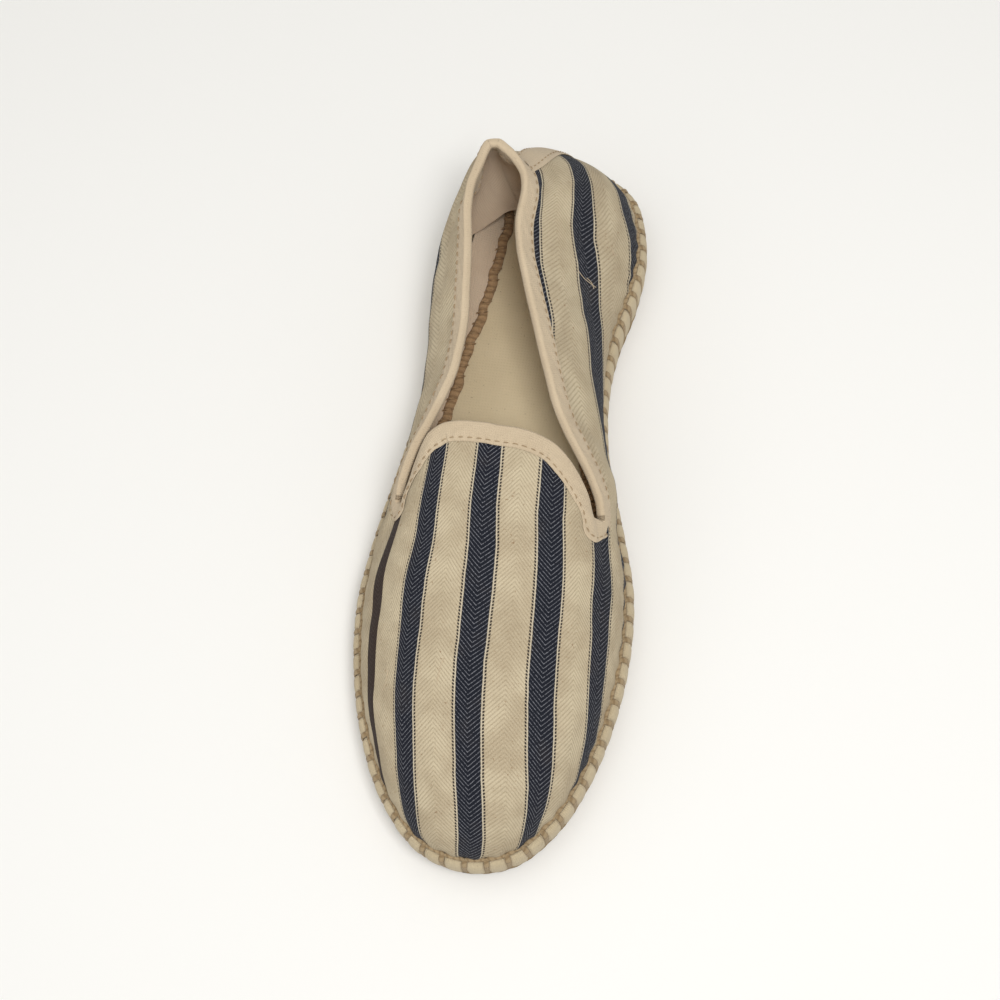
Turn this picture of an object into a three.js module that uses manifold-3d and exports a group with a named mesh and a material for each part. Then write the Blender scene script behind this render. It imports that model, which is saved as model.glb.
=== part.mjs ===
// Flat espadrille, right shoe, standing empty on its sole.
// Millimetres, +Z up. The toe points to -Y and the inner (big toe) side to +X. The origin lies on the
// floor, midway along the sole. Canvas upper and collar keep the slack, worn form of the real shoe.
import * as THREE from 'three';
import { mergeVertices } from 'three/addons/utils/BufferGeometryUtils.js';
import Module from 'manifold-3d';

// Driving sizes
const LENGTH = 264;            // sole, toe tip to heel back
const BALL_WIDTH = 97.5;       // sole across the ball
const SOLE_HEIGHT = 20;        // jute sole, floor to its top
const HEEL_HEIGHT = 76;        // floor to the highest point of the collar
const INSTEP_HEIGHT = 63.5;    // floor to the throat edge
const TOE_SPRING = 3.5;        // lift of the toe tip off the floor
const WALL = 1.6;              // canvas with its lining
const RAND_THICKNESS = 3;      // padded tape round the sole's edge
const RAND_BOTTOM = 6;         // floor to the tape's lower edge
const BLOCK_PITCH = 7;         // mean distance of the edge stitches
const BLOCK_PUFF = 1.2;        // depth of the groove that a stitch pulls into the tape
const INSOLE_THICKNESS = 2.2;
const INSOLE_EASE = 1;         // the insole is cut this much inside the wall
const TAPE_WIDTH = 6.5;        // visible width of the bindings
const TAPE_THICKNESS = 0.8;    // one layer of tape
const BACK_STRIP_WIDTH = 11;
const CLEARANCE = 0.3;         // gap between touching pieces

// Where the upper stands: just inside the rand, on the sole's top
const FEATHER_INSET = RAND_THICKNESS + CLEARANCE;
const FOOT_HEIGHT = SOLE_HEIGHT + CLEARANCE;
const INSTEP_RISE = INSTEP_HEIGHT - FOOT_HEIGHT;
const HEEL_RISE = HEEL_HEIGHT - FOOT_HEIGHT;
const SPRING_START = -LENGTH / 3;     // in front of this the sole leaves the floor

// Outline of the sole from above, round by the inner side from the toe tip.
// across: share of BALL_WIDTH, along: share of LENGTH, both from the origin.
const SOLE_OUTLINE = [
  { place: 'toe tip', across: 0.075, along: -0.5 },
  { place: 'toe, inner round', across: 0.243, along: -0.482 },
  { place: 'big toe', across: 0.372, along: -0.431 },
  { place: 'big toe side', across: 0.455, along: -0.367 },
  { place: 'inner ball, front', across: 0.513, along: -0.284 },
  { place: 'inner ball', across: 0.536, along: -0.195 },
  { place: 'inner ball, back', across: 0.517, along: -0.108 },
  { place: 'inner waist, front', across: 0.447, along: -0.022 },
  { place: 'inner waist', across: 0.36, along: 0.075 },
  { place: 'inner arch', across: 0.324, along: 0.165 },
  { place: 'inner arch, back', across: 0.335, along: 0.242 },
  { place: 'inner heel, front', across: 0.378, along: 0.318 },
  { place: 'inner heel', across: 0.386, along: 0.385 },
  { place: 'inner heel corner', across: 0.319, along: 0.459 },
  { place: 'heel back, inner', across: 0.19, along: 0.491 },
  { place: 'heel back', across: 0.04, along: 0.5 },
  { place: 'heel back, outer', across: -0.115, along: 0.489 },
  { place: 'outer heel corner', across: -0.245, along: 0.452 },
  { place: 'outer heel', across: -0.312, along: 0.382 },
  { place: 'outer heel, front', across: -0.326, along: 0.29 },
  { place: 'outer waist', across: -0.352, along: 0.165 },
  { place: 'outer waist, front', across: -0.397, along: 0.04 },
  { place: 'outer ball, back', across: -0.445, along: -0.08 },
  { place: 'outer ball', across: -0.464, along: -0.175 },
  { place: 'outer ball, front', across: -0.436, along: -0.257 },
  { place: 'small toe side', across: -0.366, along: -0.348 },
  { place: 'small toe', across: -0.247, along: -0.431 },
  { place: 'toe, outer round', across: -0.095, along: -0.485 },
];

// Side of the jute sole, from the floor up.
// up: share of SOLE_HEIGHT, inset: share of FEATHER_INSET behind the outline.
const SOLE_SIDE = [
  { up: 0, inset: 0.75 },
  { up: 0.05, inset: 0.4 },
  { up: 0.15, inset: 0.2 },
  { up: 0.25, inset: 0.35 },
  { up: 0.285, inset: 0.55 },
  { up: 0.285, inset: 1 },
  { up: 0.96, inset: 1 },
  { up: 1, inset: 1.25 },
];

// Section of the rand, round from its inner lower edge.
// up: share of its height, inset: share of RAND_THICKNESS, puff: share of the stitch groove it takes.
const RAND_SECTION = [
  { up: 0, inset: 1, puff: 0 },
  { up: 0.05, inset: 0.12, puff: 0.8 },
  { up: 0.72, inset: 0, puff: 1 },
  { up: 1, inset: 0.5, puff: 0.5 },
  { up: 0.95, inset: 1, puff: 0 },
];

// The upper, a row for each rib from the sole's edge to the free top edge, round by the inner side.
// foot: share of the way round the feather line, from the toe tip.
// across, along: the rib's top end as shares of BALL_WIDTH and LENGTH, from the origin.
// lift: its height over the sole as a share of the collar's height there.
// belly: how far the wall swells out from a straight rib, as a share of BALL_WIDTH.
// dome: 1 where the rib lies on the vamp's dome, 0 where it stands as a quarter.
const RIBS = [
  { place: 'throat centre', foot: 0, across: 0, along: 0.039, lift: 1.00, belly: 0, dome: 1 },
  { place: 'throat, inner 1', foot: 0.014, across: 0.046, along: 0.039, lift: 1.00, belly: 0, dome: 1 },
  { place: 'throat, inner 2', foot: 0.033, across: 0.092, along: 0.038, lift: 0.98, belly: 0, dome: 1 },
  { place: 'throat, inner 3', foot: 0.058, across: 0.138, along: 0.035, lift: 0.95, belly: 0, dome: 1 },
  { place: 'throat, inner 4', foot: 0.085, across: 0.185, along: 0.029, lift: 0.91, belly: 0, dome: 1 },
  { place: 'inner throat corner', foot: 0.115, across: 0.241, along: 0.013, lift: 0.85, belly: 0, dome: 1 },
  { place: 'inner notch front 1', foot: 0.149, across: 0.306, along: -0.017, lift: 0.73, belly: 0, dome: 1 },
  { place: 'inner notch front 2', foot: 0.180, across: 0.351, along: -0.047, lift: 0.60, belly: 0, dome: 1 },
  { place: 'inner notch', foot: 0.208, across: 0.383, along: -0.045, lift: 0.51, belly: 0.021, dome: 0.7 },
  { place: 'inner notch rear 2', foot: 0.234, across: 0.369, along: -0.024, lift: 0.57, belly: 0.031, dome: 0.35 },
  { place: 'inner notch rear 1', foot: 0.253, across: 0.326, along: 0.005, lift: 0.69, belly: 0.050, dome: 0.1 },
  { place: 'inner collar front', foot: 0.268, across: 0.279, along: 0.029, lift: 0.79, belly: 0.055, dome: 0 },
  { place: 'inner collar 1', foot: 0.284, across: 0.225, along: 0.055, lift: 0.88, belly: 0.060, dome: 0 },
  { place: 'inner collar 2', foot: 0.303, across: 0.174, along: 0.085, lift: 0.92, belly: 0.064, dome: 0 },
  { place: 'inner collar 3', foot: 0.320, across: 0.129, along: 0.125, lift: 0.94, belly: 0.066, dome: 0 },
  { place: 'inner collar 4', foot: 0.345, across: 0.069, along: 0.183, lift: 0.95, belly: 0.062, dome: 0 },
  { place: 'inner collar 5', foot: 0.366, across: 0.014, along: 0.232, lift: 0.96, belly: 0.052, dome: 0 },
  { place: 'inner collar 6', foot: 0.386, across: -0.037, along: 0.277, lift: 0.96, belly: 0.041, dome: 0 },
  { place: 'inner collar 7', foot: 0.410, across: -0.055, along: 0.319, lift: 0.96, belly: 0.046, dome: 0 },
  { place: 'inner collar back', foot: 0.439, across: -0.051, along: 0.351, lift: 0.96, belly: 0.062, dome: 0 },
  { place: 'beside the heel seam', foot: 0.470, across: -0.057, along: 0.374, lift: 0.96, belly: 0.072, dome: 0 },
  { place: 'heel seam', foot: 0.499, across: -0.085, along: 0.395, lift: 0.97, belly: 0.060, dome: 0 },
  { place: 'behind the ear', foot: 0.522, across: -0.123, along: 0.409, lift: 0.99, belly: 0.030, dome: 0 },
  { place: 'ear, back', foot: 0.541, across: -0.164, along: 0.419, lift: 1.00, belly: 0.035, dome: 0 },
  { place: 'ear', foot: 0.561, across: -0.205, along: 0.415, lift: 1.00, belly: 0.052, dome: 0 },
  { place: 'ear, front', foot: 0.580, across: -0.234, along: 0.390, lift: 1.00, belly: 0.060, dome: 0 },
  { place: 'outer collar back', foot: 0.595, across: -0.248, along: 0.358, lift: 1.00, belly: 0.075, dome: 0 },
  { place: 'outer collar 7', foot: 0.610, across: -0.243, along: 0.325, lift: 0.99, belly: 0.090, dome: 0 },
  { place: 'outer collar 6', foot: 0.627, across: -0.224, along: 0.280, lift: 0.98, belly: 0.097, dome: 0 },
  { place: 'outer collar 5', foot: 0.649, across: -0.208, along: 0.227, lift: 0.98, belly: 0.087, dome: 0 },
  { place: 'outer collar 4', foot: 0.672, across: -0.199, along: 0.170, lift: 0.97, belly: 0.072, dome: 0 },
  { place: 'outer collar 3', foot: 0.695, across: -0.205, along: 0.117, lift: 0.95, belly: 0.054, dome: 0 },
  { place: 'outer collar 2', foot: 0.711, across: -0.229, along: 0.080, lift: 0.92, belly: 0.041, dome: 0 },
  { place: 'outer collar front', foot: 0.729, across: -0.267, along: 0.042, lift: 0.85, belly: 0.031, dome: 0 },
  { place: 'outer notch rear 1', foot: 0.749, across: -0.314, along: 0.006, lift: 0.73, belly: 0.021, dome: 0.1 },
  { place: 'outer notch rear 2', foot: 0.769, across: -0.347, along: -0.034, lift: 0.59, belly: 0.021, dome: 0.35 },
  { place: 'outer notch', foot: 0.793, across: -0.351, along: -0.055, lift: 0.51, belly: 0.015, dome: 0.7 },
  { place: 'outer notch front 2', foot: 0.821, across: -0.320, along: -0.060, lift: 0.59, belly: 0, dome: 1 },
  { place: 'outer notch front 1', foot: 0.852, across: -0.283, along: -0.011, lift: 0.76, belly: 0, dome: 1 },
  { place: 'outer throat corner', foot: 0.882, across: -0.242, along: 0.023, lift: 0.90, belly: 0, dome: 1 },
  { place: 'throat, outer 4', foot: 0.911, across: -0.191, along: 0.036, lift: 0.95, belly: 0, dome: 1 },
  { place: 'throat, outer 3', foot: 0.938, across: -0.144, along: 0.039, lift: 0.98, belly: 0, dome: 1 },
  { place: 'throat, outer 2', foot: 0.961, across: -0.097, along: 0.040, lift: 0.99, belly: 0, dome: 1 },
  { place: 'throat, outer 1', foot: 0.982, across: -0.051, along: 0.040, lift: 1.00, belly: 0, dome: 1 },
];

// Dome of the vamp, from the toe tip back to the throat.
// along: share of LENGTH, crest: share of INSTEP_RISE, crown: exponent of the cross section,
// shift: place of the crest as a share of BALL_WIDTH.
const VAMP_DOME = [
  { along: -0.5, crest: 0.47, crown: 2.1, shift: 0.08 },
  { along: -0.41, crest: 0.55, crown: 2.2, shift: 0.078 },
  { along: -0.36, crest: 0.63, crown: 2.3, shift: 0.072 },
  { along: -0.285, crest: 0.71, crown: 2.4, shift: 0.06 },
  { along: -0.19, crest: 0.79, crown: 2.4, shift: 0.045 },
  { along: -0.095, crest: 0.885, crown: 2.35, shift: 0.03 },
  { along: 0.04, crest: 1, crown: 2.3, shift: 0.01 },
];
const TOE_ROUND = 26;          // length over which the vamp's nose rounds down to the sole

const OUTLINE_STEPS = 720;     // fine points that the outline is measured on
const RIB_STEPS = 2;           // ribs made for each row of the table
const OUTER_ROWS = 9;          // rows of facets up the outside of the upper
const INNER_ROWS = 6;          // rows of facets up its inside
const SOLE_STEPS = 72;

function clamp01(x) {
  return Math.min(1, Math.max(0, x));
}

function smoothstep(from, to, x) {
  const k = clamp01((x - from) / (to - from));
  return k * k * (3 - 2 * k);
}

// Slope that keeps a curve through a column from overshooting its rows
function rowSlope(before, after) {
  return before * after <= 0 ? 0 : 2 * before * after / (before + after);
}

// Smooth curve through one column of a table that runs round a loop; turn is what one lap adds.
function loopColumn(rows, key, turn = 0) {
  const count = rows.length;
  const value = (i) => rows[((i % count) + count) % count][key] + turn * Math.floor(i / count);
  return (t) => {
    const i = Math.floor(t);
    const k = t - i;
    const step = value(i + 1) - value(i);
    const startSlope = rowSlope(value(i) - value(i - 1), step);
    const endSlope = rowSlope(step, value(i + 2) - value(i + 1));
    const k2 = k * k;
    const k3 = k2 * k;
    return value(i) + step * (3 * k2 - 2 * k3) + startSlope * (k3 - 2 * k2 + k) + endSlope * (k3 - k2);
  };
}

// Smooth curve through a column of a table whose rows are placed by another column
function placedColumn(rows, placeKey, key) {
  const last = rows.length - 1;
  const slopes = rows.map((row, i) => {
    if (i === 0 || i === last) {
      return 0;
    }
    const before = (row[key] - rows[i - 1][key]) / (row[placeKey] - rows[i - 1][placeKey]);
    const after = (rows[i + 1][key] - row[key]) / (rows[i + 1][placeKey] - row[placeKey]);
    return rowSlope(before, after);
  });
  return (x) => {
    const i = Math.min(last - 1, Math.max(0, rows.findIndex((row) => row[placeKey] > x) - 1));
    const row = x >= rows[last][placeKey] ? last - 1 : i;
    const width = rows[row + 1][placeKey] - rows[row][placeKey];
    const k = clamp01((x - rows[row][placeKey]) / width);
    const step = rows[row + 1][key] - rows[row][key];
    const k2 = k * k;
    const k3 = k2 * k;
    return rows[row][key] + step * (3 * k2 - 2 * k3)
      + width * (slopes[row] * (k3 - 2 * k2 + k) + slopes[row + 1] * (k3 - k2));
  };
}

// Outline of the sole and lines inside it
const outlineCurve = new THREE.CatmullRomCurve3(
  SOLE_OUTLINE.map((row) => new THREE.Vector3(row.across * BALL_WIDTH, row.along * LENGTH, 0)),
  true,
  'centripetal',
);
outlineCurve.arcLengthDivisions = OUTLINE_STEPS;
const OUTLINE_LENGTH = outlineCurve.getLength();

function insetPoint(share, inset) {
  const u = share - Math.floor(share);
  const point = outlineCurve.getPointAt(u);
  const tangent = outlineCurve.getTangentAt(u);
  return new THREE.Vector3(point.x - tangent.y * inset, point.y + tangent.x * inset, 0);
}

// The feather line is measured once, so that a share of it is a share of its length.
const feather = [];
for (let i = 0; i <= OUTLINE_STEPS; i += 1) {
  const point = insetPoint(i / OUTLINE_STEPS, FEATHER_INSET);
  const from = i === 0 ? point : feather[i - 1].point;
  const travelled = i === 0 ? 0 : feather[i - 1].travelled + from.distanceTo(point);
  feather.push({ point, travelled });
}
const FEATHER_LENGTH = feather[OUTLINE_STEPS].travelled;
const FEATHER_TOE = Math.min(...feather.map((sample) => sample.point.y));

function featherPoint(share) {
  const travelled = (share - Math.floor(share)) * FEATHER_LENGTH;
  const i = Math.max(1, feather.findIndex((sample) => sample.travelled >= travelled));
  const from = feather[i - 1];
  const to = feather[i];
  const k = (travelled - from.travelled) / (to.travelled - from.travelled);
  return from.point.clone().lerp(to.point, k);
}

function featherOutward(share) {
  const step = 1 / OUTLINE_STEPS;
  const run = featherPoint(share + step).sub(featherPoint(share - step)).normalize();
  return new THREE.Vector3(run.y, -run.x, 0);
}

// Where a line across the shoe meets the feather line, on the outer and the inner side
function featherSides(y) {
  const crossings = [];
  for (let i = 1; i <= OUTLINE_STEPS; i += 1) {
    const a = feather[i - 1].point;
    const b = feather[i].point;
    if ((a.y - y) * (b.y - y) <= 0 && a.y !== b.y) {
      crossings.push(a.x + (b.x - a.x) * (y - a.y) / (b.y - a.y));
    }
  }
  return { outer: Math.min(...crossings), inner: Math.max(...crossings) };
}

// The floor side of the sole leaves the floor in front of the ball.
function toeSpring(y) {
  const k = clamp01((y - SPRING_START) / (-LENGTH / 2 - SPRING_START));
  return TOE_SPRING * k * k;
}

function lifted(point) {
  return new THREE.Vector3(point.x, point.y, point.z + toeSpring(point.y));
}

// Height of the vamp's dome over the sole, at a place in plan
const crestAt = placedColumn(VAMP_DOME, 'along', 'crest');
const crownAt = placedColumn(VAMP_DOME, 'along', 'crown');
const shiftAt = placedColumn(VAMP_DOME, 'along', 'shift');

function domeHeight(x, y) {
  const fromTip = y - FEATHER_TOE;
  if (fromTip <= 0) {
    return 0;
  }
  const nose = Math.sqrt(1 - (1 - Math.min(1, fromTip / TOE_ROUND)) ** 2);
  const sides = featherSides(y);
  const share = y / LENGTH;
  const middle = Math.min(sides.inner, Math.max(sides.outer, shiftAt(share) * BALL_WIDTH));
  const edge = x > middle ? sides.inner : sides.outer;
  const out = clamp01(Math.abs((x - middle) / (edge - middle)));
  return INSTEP_RISE * crestAt(share) * nose * Math.sqrt(1 - out ** crownAt(share));
}

// Height of the collar line over the sole if it ran level with throat and heel
const THROAT_ALONG = 0.04;
const COLLAR_BACK_ALONG = 0.4;

function collarRise(along) {
  const k = clamp01((along - THROAT_ALONG) / (COLLAR_BACK_ALONG - THROAT_ALONG));
  return INSTEP_RISE + (HEEL_RISE - INSTEP_RISE) * k;
}

// The upper's outer face: t counts rows of the rib table, h runs from the sole (0) to the top edge (1).
const footAt = loopColumn(RIBS, 'foot', 1);
const acrossAt = loopColumn(RIBS, 'across');
const alongAt = loopColumn(RIBS, 'along');
const liftAt = loopColumn(RIBS, 'lift');
const bellyAt = loopColumn(RIBS, 'belly');
const domeAt = loopColumn(RIBS, 'dome');
const DOME_EASE = 1.8;         // crowds a vamp rib's rows towards its steep foot
const BELLY_LOW = 0.8;
const BELLY_HIGH = 1.2;        // the belly lies below the middle of the rib
const BELLY_PEAK = BELLY_LOW / (BELLY_LOW + BELLY_HIGH);
const BELLY_SCALE = 1 / (BELLY_PEAK ** BELLY_LOW * (1 - BELLY_PEAK) ** BELLY_HIGH);

function topEdge(t) {
  const along = alongAt(t);
  return new THREE.Vector3(
    acrossAt(t) * BALL_WIDTH,
    along * LENGTH,
    FOOT_HEIGHT + liftAt(t) * collarRise(along),
  );
}

function upperOuter(t, h) {
  const share = footAt(t);
  const foot = featherPoint(share).setZ(FOOT_HEIGHT);
  const top = topEdge(t);
  const dome = domeAt(t);
  const chord = top.clone().sub(foot);
  const lean = chord.clone().normalize();
  const outward = featherOutward(share);
  const swell = outward.addScaledVector(lean, -outward.dot(lean)).normalize();
  const bulge = bellyAt(t) * BALL_WIDTH * BELLY_SCALE * h ** BELLY_LOW * (1 - h) ** BELLY_HIGH;
  const wall = foot.clone().addScaledVector(chord, h).addScaledVector(swell, bulge);
  if (dome === 0) {
    return lifted(wall);
  }
  const crown = foot.clone().addScaledVector(chord, h ** DOME_EASE);
  const miss = top.z - FOOT_HEIGHT - domeHeight(top.x, top.y);
  crown.z = FOOT_HEIGHT + domeHeight(crown.x, crown.y) + miss * h;
  return lifted(wall.lerp(crown, dome));
}

const PROBE = 0.02;            // step of a slope, as a share of a rib or of the way to the next one
const PROBE_RIBS = 0.1;        // wider step round the upper, which evens its normals
const FOOT_STANDS = 0.15;      // share of a rib over which the wall turns level with the sole

// Outward direction of the upper's face; level at the foot, so that the wall stands flat on the sole
function upperNormal(t, h) {
  const low = Math.max(0, h - PROBE);
  const high = Math.min(1, h + PROBE);
  const up = upperOuter(t, high).sub(upperOuter(t, low));
  const round = upperOuter(t + PROBE_RIBS, h).sub(upperOuter(t - PROBE_RIBS, h));
  const normal = round.cross(up).normalize();
  normal.z *= smoothstep(0, FOOT_STANDS, h);
  return normal.normalize();
}

function upperPoint(t, h, offset) {
  return upperOuter(t, h).addScaledVector(upperNormal(t, h), offset);
}

// Closed body from loops of points: loops[i][j], joined round i if closed, always round j.
// Each four-cornered facet is split along its shorter diagonal, so that facing pieces split alike.
function bodyFromLoops(loops, closed) {
  const points = loops.flat();
  const positions = points.flatMap((point) => [point.x, point.y, point.z]);
  const indices = [];
  const across = loops[0].length;
  const lanes = closed ? loops.length : loops.length - 1;
  for (let i = 0; i < lanes; i += 1) {
    const next = (i + 1) % loops.length;
    for (let j = 0; j < across; j += 1) {
      const beside = (j + 1) % across;
      const a = i * across + j;
      const b = next * across + j;
      const c = next * across + beside;
      const d = i * across + beside;
      if (points[a].distanceTo(points[c]) < points[b].distanceTo(points[d])) {
        indices.push(a, b, c, a, c, d);
      } else {
        indices.push(a, b, d, b, c, d);
      }
    }
  }
  if (!closed) {
    for (let j = 1; j < across - 1; j += 1) {
      indices.push(0, j, j + 1);
      const base = (loops.length - 1) * across;
      indices.push(base, base + j + 1, base + j);
    }
  }
  const geometry = new THREE.BufferGeometry();
  geometry.setAttribute('position', new THREE.Float32BufferAttribute(positions, 3));
  geometry.setIndex(indices);
  geometry.computeVertexNormals();
  return geometry;
}

// Closed slab from rings that all go round the sole, lowest first, with strips across its two faces
function slabFromRings(rings) {
  const positions = rings.flat().flatMap((point) => [point.x, point.y, point.z]);
  const count = rings[0].length;
  const indices = [];
  for (let i = 0; i < rings.length - 1; i += 1) {
    for (let j = 0; j < count; j += 1) {
      const beside = (j + 1) % count;
      const a = i * count + j;
      const b = i * count + beside;
      const c = (i + 1) * count + beside;
      const d = (i + 1) * count + j;
      indices.push(a, b, c, a, c, d);
    }
  }
  const topStart = (rings.length - 1) * count;
  for (let j = 0; j < count / 2; j += 1) {
    const nearSide = [j, j + 1];
    const farSide = [(count - j) % count, count - j - 1];
    const faces = [
      [nearSide[0], nearSide[1], farSide[1]],
      [nearSide[0], farSide[1], farSide[0]],
    ];
    for (const face of faces) {
      if (new Set(face).size === 3) {
        indices.push(face[0], face[2], face[1]);
        indices.push(topStart + face[0], topStart + face[1], topStart + face[2]);
      }
    }
  }
  const geometry = new THREE.BufferGeometry();
  geometry.setAttribute('position', new THREE.Float32BufferAttribute(positions, 3));
  geometry.setIndex(indices);
  geometry.computeVertexNormals();
  return geometry;
}

function ring(inset, height, steps) {
  const points = [];
  for (let i = 0; i < steps; i += 1) {
    points.push(lifted(insetPoint(i / steps, inset).setZ(height)));
  }
  return points;
}

function makeSole() {
  const rings = SOLE_SIDE.map((row) => ring(row.inset * FEATHER_INSET, row.up * SOLE_HEIGHT, SOLE_STEPS));
  return slabFromRings(rings);
}

const INSOLE_ROUND = 0.33;     // share of the insole's thickness that its edge rounds over

function makeInsole() {
  const inset = FEATHER_INSET + WALL + INSOLE_EASE;
  const bottom = SOLE_HEIGHT + CLEARANCE;
  const edge = INSOLE_THICKNESS * INSOLE_ROUND;
  return slabFromRings([
    ring(inset, bottom, SOLE_STEPS),
    ring(inset, bottom + INSOLE_THICKNESS - edge, SOLE_STEPS),
    ring(inset + edge, bottom + INSOLE_THICKNESS, SOLE_STEPS),
  ]);
}

// Stitches sit a little wider apart round the toe than round the heel.
const STITCH_SPREAD = 0.1;
const BLOCK_PARTS = [
  { share: 0, puff: 1 },
  { share: 0.28, puff: 0 },
  { share: 0.72, puff: 0 },
];

function makeRand() {
  const blocks = Math.round(OUTLINE_LENGTH / BLOCK_PITCH);
  const height = SOLE_HEIGHT - RAND_BOTTOM;
  const loops = [];
  for (let k = 0; k < blocks; k += 1) {
    for (const part of BLOCK_PARTS) {
      const lap = (k + part.share) / blocks;
      const share = lap + STITCH_SPREAD * Math.sin(2 * Math.PI * lap) / (2 * Math.PI);
      loops.push(RAND_SECTION.map((row) => {
        const inset = row.inset * RAND_THICKNESS + row.puff * part.puff * BLOCK_PUFF;
        return lifted(insetPoint(share, inset).setZ(RAND_BOTTOM + row.up * height));
      }));
    }
  }
  return bodyFromLoops(loops, true);
}

// Heights of the facets on a rib: even up to the tape's foot, then the top edge
function ribHeights(rows, foot) {
  const heights = [];
  for (let j = 0; j < rows; j += 1) {
    heights.push(foot * j / (rows - 1));
  }
  heights.push(1);
  return heights;
}

// Shell of the upper; grown by a margin on all its faces where another piece has to clear it
function upperShell(margin) {
  const loops = [];
  const ribs = RIBS.length * RIB_STEPS;
  for (let i = 0; i < ribs; i += 1) {
    const t = i / RIB_STEPS;
    const foot = tapeFoot(t, TAPE_WIDTH);
    const section = ribHeights(OUTER_ROWS, foot).map((h) => upperPoint(t, h, margin));
    const inside = ribHeights(INNER_ROWS, foot).map((h) => upperPoint(t, h, -WALL - margin));
    if (margin > 0) {
      const { out } = edgeFrame(t);
      section.push(upperPoint(t, 1, margin).addScaledVector(out, margin));
      inside.push(upperPoint(t, 1, -WALL - margin).addScaledVector(out, margin));
    }
    loops.push(section.concat(inside.reverse()));
  }
  return bodyFromLoops(loops, true);
}

// Top edge of the upper: direction along it, and the way out of it within the wall
function edgeFrame(t) {
  const normal = upperNormal(t, 1);
  const run = upperOuter(t + PROBE, 1).sub(upperOuter(t - PROBE, 1)).normalize();
  const out = run.clone().cross(normal).normalize().negate();
  const down = upperOuter(t, 1).sub(upperOuter(t, 1 - PROBE));
  if (out.dot(down) < 0) {
    out.negate();
  }
  return { normal, run, out };
}

const TAPE_SLANT = 1.5;        // longest stretch of a slanting rib under the tape, in tape widths

// Share of a rib at which the tape's width, measured square to the edge, is used up
function tapeFoot(t, width) {
  const { run } = edgeFrame(t);
  const top = upperOuter(t, 1);
  let low = 0;
  let high = 1;
  const halvings = 12;
  for (let i = 0; i < halvings; i += 1) {
    const h = (low + high) / 2;
    const reach = upperOuter(t, h).sub(top);
    const length = reach.length();
    reach.addScaledVector(run, -reach.dot(run));
    if (reach.length() > width || length > TAPE_SLANT * width) {
      low = h;
    } else {
      high = h;
    }
  }
  return (low + high) / 2;
}

// Place on the upper's face nearest to a point, found by a few corrections from a first guess
function nearestPlace(target, t, h) {
  const corrections = 8;
  for (let i = 0; i < corrections; i += 1) {
    const low = Math.max(0, h - PROBE);
    const high = Math.min(1, h + PROBE);
    const up = upperOuter(t, high).sub(upperOuter(t, low)).divideScalar(high - low);
    const round = upperOuter(t + PROBE, h).sub(upperOuter(t - PROBE, h)).divideScalar(2 * PROBE);
    const miss = target.clone().sub(upperOuter(t, h));
    const uu = up.dot(up);
    const rr = round.dot(round);
    const ur = up.dot(round);
    const det = uu * rr - ur * ur;
    h = clamp01(h + (miss.dot(up) * rr - miss.dot(round) * ur) / det);
    t += (miss.dot(round) * uu - miss.dot(up) * ur) / det;
  }
  return { t, h };
}

const wasm = await Module();
wasm.setup();

function solidOf(geometry) {
  const bare = geometry.clone();
  bare.deleteAttribute('normal');
  const merged = mergeVertices(bare);
  return new wasm.Manifold(new wasm.Mesh({
    numProp: 3,
    vertProperties: Float32Array.from(merged.attributes.position.array),
    triVerts: Uint32Array.from(merged.index.array),
  }));
}

function geometryOf(solid) {
  const mesh = solid.getMesh();
  const geometry = new THREE.BufferGeometry();
  geometry.setAttribute('position', new THREE.Float32BufferAttribute(mesh.vertProperties, 3));
  geometry.setIndex(Array.from(mesh.triVerts));
  geometry.computeVertexNormals();
  return geometry;
}

const TAPE_FOLD = 0.35;        // how far the folded edge of a binding rounds in
const FIRST_GUESS = 0.9;       // share of a rib where the search for the tape's lower edge starts
const clearedUpper = solidOf(upperShell(CLEARANCE));

// Tape folded over the top edge, from one row of the rib table to another
function makeBinding(from, to) {
  const steps = Math.round((to - from) * RIB_STEPS);
  const far = CLEARANCE + TAPE_THICKNESS;
  const loops = [];
  for (let i = 0; i <= steps; i += 1) {
    const t = from + i / RIB_STEPS;
    const { out } = edgeFrame(t);
    const top = upperOuter(t, 1);
    const crest = (offset, reach) => upperPoint(t, 1, offset).addScaledVector(out, reach);
    const below = (distance) => nearestPlace(top.clone().addScaledVector(out, -distance), t, FIRST_GUESS);
    const foot = below(TAPE_WIDTH);
    const middle = below(TAPE_WIDTH / 2);
    loops.push([
      upperPoint(foot.t, foot.h, far),
      upperPoint(middle.t, middle.h, far),
      crest(far, 0),
      crest(far * TAPE_FOLD, far),
      crest(-WALL - far * TAPE_FOLD, far),
      crest(-WALL - far, 0),
      upperPoint(middle.t, middle.h, -WALL - far),
      upperPoint(foot.t, foot.h, -WALL - far),
    ]);
  }
  return geometryOf(solidOf(bodyFromLoops(loops, false)).subtract(clearedUpper));
}

const rowOf = (place) => RIBS.findIndex((row) => row.place === place);
const INNER_NOTCH = rowOf('inner notch');
const OUTER_NOTCH = rowOf('outer notch');
const HEEL_SEAM = rowOf('heel seam');
const NOTCH_TURN = 1 / RIB_STEPS;   // rows past the notch that the collar binding turns

function rowsFor(t, h, distance) {
  const pace = upperOuter(t + PROBE, h).distanceTo(upperOuter(t - PROBE, h)) / (2 * PROBE);
  return distance / pace;
}

function makeCollarBinding() {
  return makeBinding(INNER_NOTCH - NOTCH_TURN, OUTER_NOTCH + NOTCH_TURN);
}

function makeThroatBinding() {
  return makeBinding(OUTER_NOTCH + 2 * NOTCH_TURN - RIBS.length, INNER_NOTCH - 2 * NOTCH_TURN);
}

const STRIP_FOOT = 0.04;       // share of a rib where the back strip starts
const STRIP_OFF = 0.55;        // its inner face off the upper, so that flat facets clear a round heel

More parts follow.
